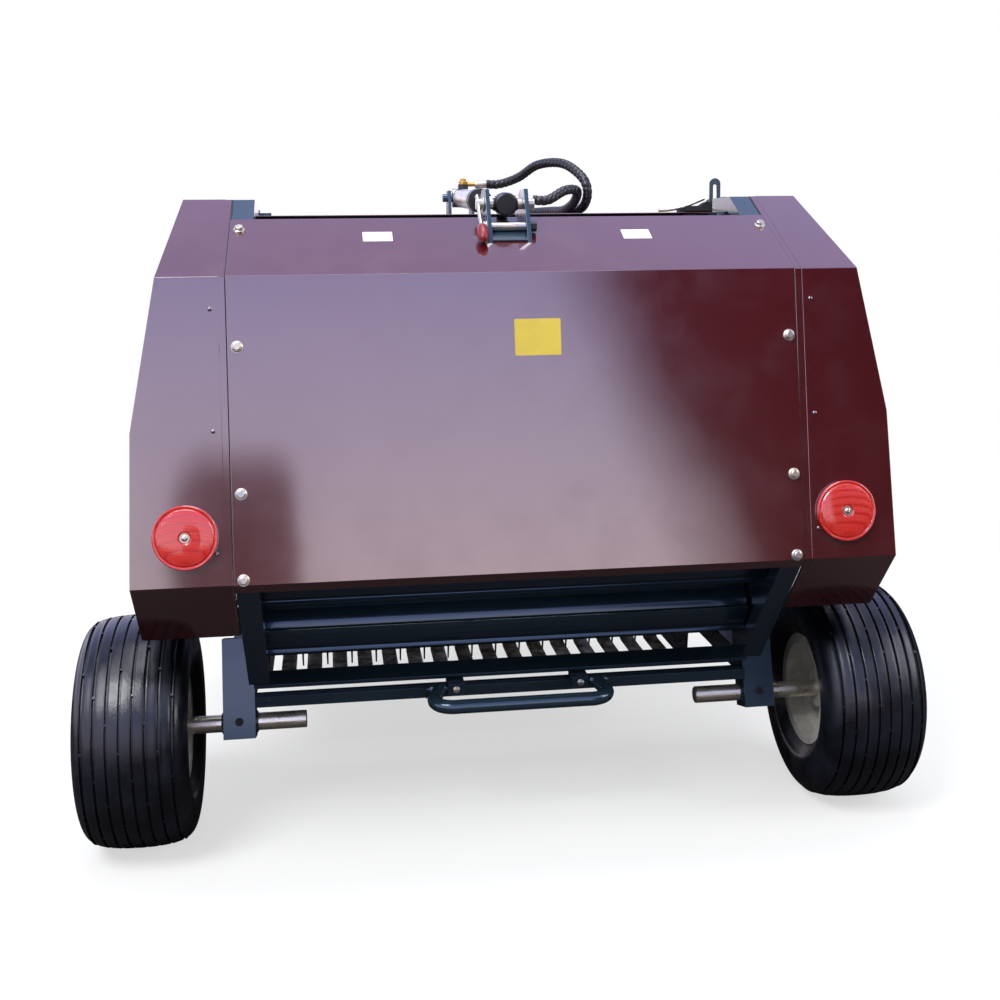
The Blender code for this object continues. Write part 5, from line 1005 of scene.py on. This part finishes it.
def top_fittings():
    """What stands on the front half's top: a post at the left, the slotted lever's housing at the right."""
    top = HOOD_TOP_Z
    shape = bmesh.new()
    brick(shape, place(-0.497, 0.590, top), place(-0.479, 0.612, top + 0.012))
    drum(shape, place(-0.488, 0.601, top + 0.010), place(-0.488, 0.601, 1.279), 0.0052, 24)
    brick(shape, place(-0.482, 0.592, top), place(-0.455, 0.610, top + 0.006))
    piece("top_post", shape, BLUE, "frame", (), 30, 0.0006)
    shape = bmesh.new()
    wedge = [(0.478, top), (0.572, top), (0.572, top + 0.030), (0.545, top + 0.034), (0.500, top + 0.022),
             (0.478, top + 0.008)]
    plate(shape, wedge, 0.026, upright(0.616 - MIDDLE_Y))
    brick(shape, place(0.452, 0.580, top + 0.003), place(0.560, 0.588, top + 0.014))
    drum(shape, place(SLOT_X, 0.574, top + 0.019), place(SLOT_X, 0.620, top + 0.019), 0.0110, 28)
    brick(shape, place(0.440, 0.588, top), place(0.480, 0.612, top + 0.010))
    piece("lever_housing", shape, "black_and_painted_shade", "frame", (), 30, 0.0006)
    shape = bmesh.new()
    slot = arc((SLOT_X, 1.309), 0.0042, 0, 180, 8) + arc((SLOT_X, 1.280), 0.0042, 180, 360, 8)
    outer = arc((SLOT_X, 1.314), 0.0125, 0, 180, 12) + arc((SLOT_X, 1.266), 0.0125, 180, 360, 12)
    slotted(shape, outer, slot, 0.005, upright(0.586 - MIDDLE_Y))
    piece("slotted_lever", shape, BLUE, "frame", (), 30, 0.0005)
    shape = bmesh.new()
    rod = [(0.395, 0.600, top + 0.0045), (0.420, 0.600, top + 0.0060), (0.455, 0.600, top + 0.0130),
           (0.500, 0.600, top + 0.0300)]
    sweep(shape, smooth_route(rod, 0.004)[0], 0.0034, 16)
    hex_bolt(shape, place(SLOT_X, 0.574, 1.2710), -AHEAD, 0.0075)
    piece("lever_link", shape, ZINC, "frame", (), 40)


ARM_LEAN = radians(15)
ARM_FACE = 0.0301             # from the stub axle to the arm's rear face


def arm_fittings():
    """The set bolt in each axle arm, and collars with pins on the stub axles."""
    lean = Vector((0, sin(ARM_LEAN), cos(ARM_LEAN)))
    out = Vector((0, -cos(ARM_LEAN), sin(ARM_LEAN)))
    axle = place(0, 0.335, 0.2285)
    dark = bmesh.new()
    steel = bmesh.new()
    for step in (-RIGHT, RIGHT):
        lathe(dark, [(0, POLE), (0, 0.0082), (0.0016, 0.0082), (0.0022, 0.0070), (0.0022, 0.0055),
                     (0.0004, 0.0052), (0.0004, POLE)],
              aim(out, axle + step * 0.543 + out * ARM_FACE + lean * 0.004), 36)
        drum(steel, axle + step * 0.5105, axle + step * 0.5060, 0.0250, 44, 0.0185)
        drum(steel, axle + step * 0.5755, axle + step * 0.5800, 0.0250, 44, 0.0185)
        wheel = axle + step * 0.8120
        drum(steel, wheel - UP * 0.0230, wheel + UP * 0.0230, 0.0028, 14)
    # The set bolts are drawn near-black as painted shade, standing for the dark holes they sit in
    piece("arm_set_bolts", dark, "black_and_painted_shade", "frame")
    piece("axle_collars", steel, BLUE, "frame")


def bar_clip():
    """The flat clip that holds the rear bar on its left pin, and the bolts of its blocks."""
    shape = bmesh.new()
    outline = arc((0.274, 0.2975), 0.0095, 0, 180, 10) + arc((0.2725, 0.286), 0.0075, 180, 360, 10)
    plate(shape, outline, 0.0025, across(-0.1685))
    piece("bar_clip", shape, BLACK, "rear_bar", (), 30, 0.0004)
    shape = bmesh.new()
    for x in (-0.1075, 0.1475):
        hex_bolt(shape, place(x, 0.2618, 0.2975), -AHEAD, 0.0065)
    piece("bar_block_bolts", shape, ZINC, "frame")


def sheet_bolts():
    """Bolts that hold the hood's sheet, and the hinge pins' washers."""
    shape = bmesh.new()
    for sign in SIGNS:
        for y in (0.640, 0.860, 1.075):
            hex_bolt(shape, place(sign * 0.5030, y, 1.2521), UP, 0.0075)
        for z in (0.700, 0.900, 1.100):
            hex_bolt(shape, place(sign * 0.5030, 1.1921, z), AHEAD, 0.0075)
        pin = place(sign * 0.5186, 0.500, 1.235)
        drum(shape, pin, pin + RIGHT * sign * 0.0030, 0.0200, 36)
        drum(shape, pin + RIGHT * sign * 0.0030, pin + RIGHT * sign * 0.0085, 0.0135, 6)
    piece("sheet_bolts", shape, ZINC, "frame")


HOUSING_PROFILE = ((0.0000, 0.0160), (0.0000, 0.0300), (0.0035, 0.0300), (0.0045, 0.0270), (0.0075, 0.0255),
                   (0.0085, 0.0240), (0.0085, 0.0160))
HOUSING_BOLT = 0.038          # from the shaft
HOUSING_FACE = WALL_X + 0.0002


def bearings():
    """Flanged bearing housings on the walls' right-hand side, one to a roller shaft."""
    ears = arc((HOUSING_BOLT, 0), 0.0100, -70, 70, 8) + arc((-HOUSING_BOLT, 0), 0.0100, 110, 250, 8)
    for half, body in (("gate", "tailgate"), ("front", "frame")):
        housing = bmesh.new()
        bolts = bmesh.new()
        for number in range(1, 7):
            centre = centre_of("%s_roller_%d" % (half, number))
            stand = across(HOUSING_FACE, centre.y, centre.z)
            lathe(housing, HOUSING_PROFILE, stand, 44)
            angle = radians(60 * number)
            plate(housing, ears, 0.0032, stand @ Matrix.Rotation(angle, 4, "Z"))
            for end in (-HOUSING_BOLT, HOUSING_BOLT):
                at = (WALL_X + 0.0033, centre.y + end * cos(angle), centre.z + end * sin(angle))
                hex_bolt(bolts, at, RIGHT, 0.0060)
        piece(half + "_bearings", housing, BLACK, body)
        piece(half + "_bearing_bolts", bolts, ZINC, body)


LATCH_KNOB = ((0.0055, POLE), (0.0055, 0.0075), (0.0120, 0.0085), (0.0150, 0.0070), (0.0160, POLE))
# The door's handle as (x, z)
DOOR_HANDLE = ((0.6865, 0.760), (0.7050, 0.768), (0.7110, 0.790), (0.7110, 0.830), (0.7050, 0.852),
               (0.6865, 0.860))


def door_fittings():
    """Two rubber latches and a handle on each side door."""
    for side, sign in SIDES:
        body = "side_door_" + side
        shape = bmesh.new()
        # Columns: the door's face, height, and how far the face leans there
        for x, z, lean in ((0.6893, 0.640, 0.018), (0.6672, 0.980, 0.18)):
            turn = aim((sign, 0, lean), place(sign * x, 0.540, z))
            plate(shape, rounded(0.034, 0.022, 0.006), 0.0060, turn)
            lathe(shape, LATCH_KNOB, turn, 28)
        piece("door_latches_" + side, shape, BLACK, body, (), 35)
        wire("door_handle_" + side, [(sign * x, 0.600, z) for x, z in DOOR_HANDLE], 0.004, 0.0050, 18, body)


SPLINES = 6
SPLINE_TIP, SPLINE_ROOT = 0.0174, 0.0146


def input_shaft():
    """The splined input shaft, with its locking groove."""
    low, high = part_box("pto_shaft")
    centre = (low + high) / 2
    outline = []
    for number in range(SPLINES):
        middle = 360 * number / SPLINES
        outline += arc((0, 0), SPLINE_TIP, middle - 15, middle + 15, 5)
        outline += arc((0, 0), SPLINE_ROOT, middle + 17.5, middle + 42.5, 4)

    def at(y):
        """The point of the axis at y."""
        return Vector((centre.x, y, centre.z))

    shape = bmesh.new()
    for first, last in ((low.y + 0.030, high.y - 0.028), (high.y - 0.020, high.y - 0.0015)):
        plate(shape, outline, last - first, upright(last, centre.x, centre.z))
    drum(shape, at(low.y), at(low.y + 0.0305), 0.0175, 48)
    drum(shape, at(low.y + 0.030), at(high.y - 0.0010), 0.0140, 48)
    drum(shape, at(high.y - 0.0012), at(high.y), SPLINE_ROOT, 48, 0.0135)
    piece("splined_shaft", shape, "bright_steel", "pto_shaft", ["pto_shaft"], 25)


GEARBOX_TOP = 0.6253
GEARBOX_AXIS = (1.286, 0.5403)
GEARBOX_FRONT_Y = 1.3951
SIDE_COVER = 0.008            # thickness


def gearbox_fittings():
    """Cover plates with bolts, an oil plug and a seal ring on the gearbox."""
    y, z = GEARBOX_AXIS
    lid = GEARBOX_TOP + 0.006
    bolts = bmesh.new()
    plates = bmesh.new()
    brick(plates, place(-0.070, y - 0.070, GEARBOX_TOP), place(0.070, y + 0.070, lid))
    for x in (-0.058, 0.0, 0.058):
        for bolt_y in (y - 0.058, y + 0.058):
            hex_bolt(bolts, place(x, bolt_y, lid), UP, 0.0075)
    drum(plates, place(0.030, y, lid - 0.002), place(0.030, y, lid + 0.012), 0.0100, 28)
    for sign in SIGNS:
        at = place(sign * 0.080, y, z)
        face = at + RIGHT * sign * SIDE_COVER
        drum(plates, at, face, 0.052, 48)
        for step in range(6):
            angle = pi * step / 3 + 0.3
            hex_bolt(bolts, face + Vector((0, cos(angle), sin(angle))) * 0.042, RIGHT * sign, 0.0065)
    ring = place(0, GEARBOX_FRONT_Y, z)
    lathe(plates, [(0.000, 0.0200), (0.000, 0.0330), (0.004, 0.0330), (0.005, 0.0310), (0.005, 0.0200)],
          aim(AHEAD, ring), 48)
    for step in range(4):
        angle = pi * step / 2 + pi / 4
        hex_bolt(bolts, ring + Vector((cos(angle), 0, sin(angle))) * 0.0385, AHEAD, 0.0055)
    piece("gearbox_covers", plates, BLUE, "frame", (), 30, 0.0010)
    piece("gearbox_bolts", bolts, ZINC, "frame")


JACK_GRIP = ((0, POLE), (0, 0.0100), (0.004, 0.0125), (0.050, 0.0130), (0.066, 0.0115), (0.070, POLE))
JACK_PLATE_Z = 0.420


def jack_fittings():
    """The jack's crank with its grip, its head, and the bolts of its plate."""
    low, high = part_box("jack_tube")
    top = (low + high) / 2
    top.z = high.z
    shape = bmesh.new()
    drum(shape, top, top + UP * 0.014, 0.026, 40, 0.022)
    drum(shape, top + UP * 0.012, top + UP * 0.034, 0.0085, 24)
    brick(shape, top + Vector((-0.009, -0.006, 0.028)), top + Vector((0.125, 0.006, 0.034)))
    piece("jack_crank", shape, ZINC, "frame", (), 30, 0.0006)
    turned("jack_grip", JACK_GRIP, aim(UP, top + Vector((0.116, 0, 0.0345))), 32, BLACK, "frame", (), 40)
    shape = bmesh.new()
    for y in (top.y - 0.040, top.y + 0.040):
        for z in (JACK_PLATE_Z - 0.055, JACK_PLATE_Z + 0.055):
            hex_bolt(shape, (low.x - 0.0123, y, z), -RIGHT, 0.0090)
    piece("jack_bolts", shape, ZINC, "frame")


TINE_BARS = 4
TINE_PITCH = 0.0615
TINES = 15
TINE_START_ANGLE = 0.3
TINE_REACH = 0.175
COIL_PITCH = 0.0065


def reel():
    """The pickup's reel: its tube, and wire tines that start in a coil and taper to their tips."""
    low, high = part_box("pickup_reel")
    centre = place(0, 0.900, 0.300)
    tube_shape = bmesh.new()
    for sign in SIGNS:
        drum(tube_shape, centre + RIGHT * sign * 0.4835, centre + RIGHT * sign * 0.4848, 0.0445, 48)
    cross_drum(tube_shape, centre, 0.484, 0.0448, 56)
    drum(tube_shape, centre + RIGHT * low.x, centre + RIGHT * high.x, 0.0149, 36)
    piece("reel_tube", tube_shape, BLUE, "pickup_reel", ["pickup_reel"], 25)
    tines = bmesh.new()
    for row in range(TINE_BARS):
        angle = 2 * pi * row / TINE_BARS + TINE_START_ANGLE
        out = Vector((0, cos(angle), sin(angle)))
        for number in range(TINES):
            foot = centre + RIGHT * (number - (TINES - 1) / 2) * TINE_PITCH
            drum(tines, foot + out * 0.040, foot + out * TINE_REACH, 0.0040, 12, 0.0020)
            for turn in (-COIL_PITCH, 0.0, COIL_PITCH):
                cross_drum(tines, foot + out * 0.0520 + RIGHT * turn, 0.0028, 0.0105, 16)
    piece("reel_tines", tines, "spring_steel", "pickup_reel", (), 40)


GUARD_RODS = 9
GUARD_SPAN = 0.92
GUARD_FALL = radians(35)
GUARD_REACH = 0.130


def guard_rods():
    """The crop guard: round rods welded under its tube."""
    low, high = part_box("crop_guard")
    pivot = place(0, 1.120, 0.560)
    shape = bmesh.new()
    drum(shape, pivot + RIGHT * low.x, pivot + RIGHT * high.x, 0.0079, 28)
    cross_drum(shape, pivot, 0.490, 0.0129, 36)
    fall = Vector((0, -cos(GUARD_FALL), -sin(GUARD_FALL)))
    for number in range(GUARD_RODS):
        foot = pivot + RIGHT * (number - (GUARD_RODS - 1) / 2) * GUARD_SPAN / (GUARD_RODS - 1)
        drum(shape, foot, foot + fall * 0.128, 0.0048, 20)
        drum(shape, foot + fall * 0.1275, foot + fall * GUARD_REACH, 0.0048, 20, 0.0030)
        drum(shape, foot + fall * 0.010, foot + fall * 0.0165, 0.0085, 20, 0.0050)
    piece("guard_bars", shape, BLUE, "crop_guard", ["crop_guard"])


BOX_FRONT_Y = 1.3926


def box_fittings():
    """The twine box's catch and bolts, and its lid's handle."""
    low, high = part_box("twine_box")
    lid_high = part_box("twine_lid")[1]
    x = (low.x + high.x) / 2
    z = lid_high.z - 0.0015
    y = lid_high.y + MIDDLE_Y - 0.001
    # The handle's half, from the middle line, and forward of the lid
    half = ((0.036, 0.019), (0.045, 0.012), (0.045, 0.0))
    grip = [(x - aside, y + ahead, z) for aside, ahead in half[::-1]]
    grip += [(x + aside, y + ahead, z) for aside, ahead in half]
    wire("lid_handle", grip, 0.004, 0.0040, 16, "twine_lid")
    shape = bmesh.new()
    brick(shape, place(x - 0.012, BOX_FRONT_Y, 0.680), place(x + 0.012, BOX_FRONT_Y + 0.003, 0.716))
    drum(shape, place(x, BOX_FRONT_Y + 0.002, 0.698), place(x, BOX_FRONT_Y + 0.014, 0.698), 0.0070, 28)
    for bolt_x in (low.x + 0.030, high.x - 0.030):
        hex_bolt(shape, place(bolt_x, BOX_FRONT_Y, 0.480), AHEAD, 0.0070)
    piece("box_catch", shape, ZINC, "frame", (), 30, 0.0004)


def welds():
    """Weld beads where the drawbar's pieces meet."""
    runs = []
    for sign in SIGNS:
        for z in (0.3895, 0.4505):
            runs.append(((sign * 0.312, 1.2608, z), (sign * 0.368, 1.2608, z)))
        runs.append(((sign * 0.3695, 1.2610, 0.394), (sign * 0.3695, 1.2610, 0.446)))
        for z in (0.4353, 0.4047):
            runs.append(((sign * 0.0392, 1.8402, z), (-sign * 0.0392, 1.8402, z)))
    shape = bmesh.new()
    for start, end in runs:
        start, end = place(*start), place(*end)
        count = max(3, round((end - start).length / 0.0016))
        points = [start.lerp(end, step / count) for step in range(count + 1)]
        sweep(shape, points, lambda index, turn: 0.0026 + 0.0005 * (index % 2), 10)
    piece("weld_beads", shape, BLUE, "frame", (), 60)


BAR_MIDDLE_X = 0.020
BAR_HALF = 0.175
BAR_BEND = 0.035
BAR_HINGE = (0.274, 0.2975)   # y and z
BAR_REAR = (0.199, 0.2855)
BAR_EYE = ((0.1475, 0.0056), (0.1475, 0.0108), (0.1483, 0.0114), (0.1817, 0.0114), (0.1825, 0.0108),
           (0.1825, 0.0056))


def rear_bar():
    """The U-shaped bar: bent tube with flattened eyes on its pins."""
    hinge_y, hinge_z = BAR_HINGE
    rear_y, rear_z = BAR_REAR
    # From a hinge to the middle, as (from the middle, y, z)
    side = [(BAR_HALF - 0.013, hinge_y - 0.010, hinge_z),
            (BAR_HALF - 0.004, rear_y + BAR_BEND * 1.3, rear_z + 0.006),
            (BAR_HALF, rear_y + BAR_BEND * 0.8, rear_z + 0.003),
            (BAR_HALF - BAR_BEND * 0.3, rear_y + BAR_BEND * 0.25, rear_z + 0.001),
            (BAR_HALF - BAR_BEND * 0.9, rear_y, rear_z), (BAR_HALF - BAR_BEND * 1.6, rear_y, rear_z)]
    route = [(BAR_MIDDLE_X - x, y, z) for x, y, z in side] + [(BAR_MIDDLE_X, rear_y, rear_z)]
    route += [(BAR_MIDDLE_X + x, y, z) for x, y, z in side[::-1]]
    shape = bmesh.new()
    sweep(shape, smooth_route(route, 0.006)[0], 0.0138, 28)
    for out in (-RIGHT, RIGHT):
        lathe(shape, BAR_EYE, aim(out, place(BAR_MIDDLE_X, hinge_y, hinge_z)), 32)
    piece("rear_bar_tube", shape, BLUE, "rear_bar", ["rear_bar"], 40)


# Stage, light and camera

def stage():
    """A floor that the camera sees as pale paper, and that lights the machine as dark ground."""
    shape = bmesh.new()
    bmesh.ops.create_grid(shape, x_segments=1, y_segments=1, size=30.0)
    mesh = bpy.data.meshes.new("floor")
    shape.to_mesh(mesh)
    shape.free()
    floor = show("floor", mesh)
    finish = Finish("floor_paper", "#f4f4f4", 0.9, Specular_IOR_Level=0.1)
    tree = finish.tree
    asphalt = add(tree, "ShaderNodeBsdfDiffuse", {"Color": linear("#413b3d")})
    reach = add(tree, "ShaderNodeVectorMath", {"operation": "LENGTH"}, {0: finish.metres}).outputs["Value"]
    # Shaded paper near the machine gives way to plain white further out
    share = between(tree, reach, 0.9, 3.0, 0.60, 1.0)
    share.node.interpolation_type = "SMOOTHSTEP"
    path = add(tree, "ShaderNodeLightPath")
    white = add(tree, "ShaderNodeEmission", {"Color": (1, 1, 1, 1), "Strength": 1.0})
    paper = add(tree, "ShaderNodeMixShader", None,
                {0: share, 1: finish.body.outputs[0], 2: white.outputs[0]})
    mix = add(tree, "ShaderNodeMixShader", None,
              {0: path.outputs["Is Camera Ray"], 1: asphalt.outputs[0], 2: paper.outputs[0]})
    tree.links.new(mix.outputs[0], tree.nodes["Material Output"].inputs["Surface"])
    mesh.materials.append(finish.material)


def world():
    """White where the camera looks past the floor; in reflections a sky over a dark tree line."""
    studio = bpy.data.worlds.new("studio")
    bpy.context.scene.world = studio
    studio.use_nodes = True
    tree = studio.node_tree
    path = add(tree, "ShaderNodeLightPath").outputs
    direction = add(tree, "ShaderNodeTexCoord").outputs["Generated"]
    parts = add(tree, "ShaderNodeSeparateXYZ", None, {0: direction}).outputs
    ragged = add(tree, "ShaderNodeTexNoise", {"Scale": 7.0, "Detail": 5.0, "Roughness": 0.6},
                 {"Vector": direction}).outputs["Fac"]

    def combine(operation, first, second=0.0):
        """One value of two, or of the first alone."""
        return add(tree, "ShaderNodeMath", {"operation": operation}, {0: first, 1: second}).outputs[0]

    def times(first, second):
        """The product of two values."""
        return combine("MULTIPLY", first, second)

    def shifted(socket, reach):
        """A coordinate with a ragged edge."""
        return combine("ADD", socket, between(tree, ragged, 0.0, 1.0, -reach, reach))

    def background(colour, strength):
        """Plain light of a colour, or of a socket's colour."""
        return add(tree, "ShaderNodeBackground", None, {"Color": colour, "Strength": strength}).outputs[0]

    height, side = parts["Z"], parts["X"]
    over_ground = between(tree, shifted(height, 0.03), -0.02, 0.05, 0.06, 1.0)
    # The trees at the right: their edge leans outwards towards the horizon
    edge = between(tree, height, 0.05, 0.28, 0.297, 0.202)
    past_edge = combine("SUBTRACT", shifted(side, 0.035), edge)
    standing = between(tree, height, 0.34, 0.48, 1.0, 0.0)
    trees = times(between(tree, past_edge, -0.038, 0.036), standing)
    # One dark tree at the left, low over the ground
    across_tree = combine("ABSOLUTE", times(combine("ADD", shifted(side, 0.022), 0.075), 19.0))
    up_tree = times(shifted(height, 0.030), 6.3)
    off_tree = combine("ADD", combine("POWER", across_tree, 4.0), combine("POWER", up_tree, 4.0))
    tree_share = between(tree, off_tree, 0.60, 1.40, 0.06, 1.0)
    open_sky = between(tree, trees, 0.0, 1.0, 1.0, 0.02)
    zenith = between(tree, height, 0.25, 0.85, 1.0, 0.42)
    strength = times(times(times(over_ground, zenith), times(open_sky, tree_share)), 2.40)
    mirror = background(mixed(tree, between(tree, height, 0.03, 0.30), "#fff0f8", "#bcc2f6"), strength)
    soft = add(tree, "ShaderNodeBackground", {"Color": linear("#e9eef6"), "Strength": 0.62}).outputs[0]
    white = add(tree, "ShaderNodeBackground", {"Color": (1, 1, 1, 1), "Strength": 1.0}).outputs[0]
    glossy = add(tree, "ShaderNodeMixShader", None,
                 {0: path["Is Glossy Ray"], 1: soft, 2: mirror}).outputs[0]
    seen = combine("MAXIMUM", path["Is Camera Ray"], path["Is Transmission Ray"])
    mix = add(tree, "ShaderNodeMixShader", None, {0: seen, 1: glossy, 2: white}).outputs[0]
    tree.links.new(mix, tree.nodes["World Output"].inputs["Surface"])


# Columns: name, place, the point it looks at, size, watts
LAMPS = (("key", (-2.6, -3.6, 5.0), (0, 0, 0.7), 2.4, 300),
         ("fill", (4.2, -2.4, 2.6), (0, 0, 0.6), 2.5, 90),
         ("top", (0.0, -0.4, 5.2), (0, 0, 0.8), 2.5, 120))
CAMERA_PLACE = place(-0.340, -2.151, 1.183)
CAMERA_YAW, CAMERA_PITCH, CAMERA_ROLL = radians(-7.65), radians(8.0), radians(-1.74)


def lamp(name, start, target, size, watts):
    """A soft square lamp."""
    light = bpy.data.lights.new(name, "AREA")
    light.shape = "SQUARE"
    light.size = size
    light.energy = watts
    show(name, light).matrix_world = aim(Vector(start) - Vector(target), start)


def camera():
    """The camera at the photograph's viewing angle."""
    yaw, pitch, roll = CAMERA_YAW, CAMERA_PITCH, CAMERA_ROLL
    level_down = Vector((0, -sin(pitch), -cos(pitch)))
    level_ahead = Vector((0, cos(pitch), -sin(pitch)))
    level_right = RIGHT * cos(yaw) + level_ahead * sin(yaw)
    ahead = level_ahead * cos(yaw) - RIGHT * sin(yaw)
    right = level_right * cos(roll) - level_down * sin(roll)
    down = level_right * sin(roll) + level_down * cos(roll)
    data = bpy.data.cameras.new("camera")
    data.lens = 45.0
    data.sensor_width = 36.0
    data.shift_y = -0.08
    thing = show("camera", data)
    turn = Matrix((right, -down, -ahead)).transposed().to_4x4()
    thing.matrix_world = Matrix.Translation(CAMERA_PLACE) @ turn
    bpy.context.scene.camera = thing


CAD_FINISHES = (
    (MAROON, ("gate_panel", "gate_cover_left", "gate_cover_right", "front_hood", "side_door_left",
              "side_door_right", "twine_box", "twine_lid")),
    (BLUE, ("gate_wall_left", "gate_wall_right", "front_wall_left", "front_wall_right", "axle_arm_left",
            "axle_arm_right", "front_beam", "front_cross_tube", "rear_angle_beam", "rear_box_beam",
            "drawbar", "jack_tube", "gearbox", "cylinder_ears", "cylinder_bracket", "gate_frame_left",
            "gate_frame_right")),
    (ZINC, ("jack_leg",)),
    ("band_steel", ("pickup_bands",)),
)


def build():
    """Dress the frame and add the pieces."""
    for finish, nodes in CAD_FINISHES:
        for node in nodes:
            dress(node, finish)
    cylinder()
    hose("lift", LIFT_HOSE_ROUTE)
    hose("lower", LOWER_HOSE_ROUTE)
    for side, sign in SIDES:
        tyre(side)
        rim(side, sign)
        reflector(side, sign)
        stub_axle(side)
    for half in ("gate", "front"):
        for number in range(1, 7):
            roller("%s_roller_%d" % (half, number))
    drive_chain("gate_chain", "tailgate", ["gate_roller_%d" % number for number in range(1, 7)])
    drive_chain("front_chain", "frame", ["front_roller_%d" % number for number in (5, 4, 3, 2)])
    for fit in (panel_bolts, labels, cover_lips, cover_rivets, ear_fittings, top_fittings, arm_fittings,
                rear_bar, bar_clip, sheet_bolts, bearings, door_fittings, input_shaft, gearbox_fittings,
                jack_fittings, reel, guard_rods, box_fittings, welds, stage, world):
        fit()
    for values in LAMPS:
        lamp(*values)
    camera()


build()
scene = bpy.context.scene
scene.view_settings.view_transform = "Standard"
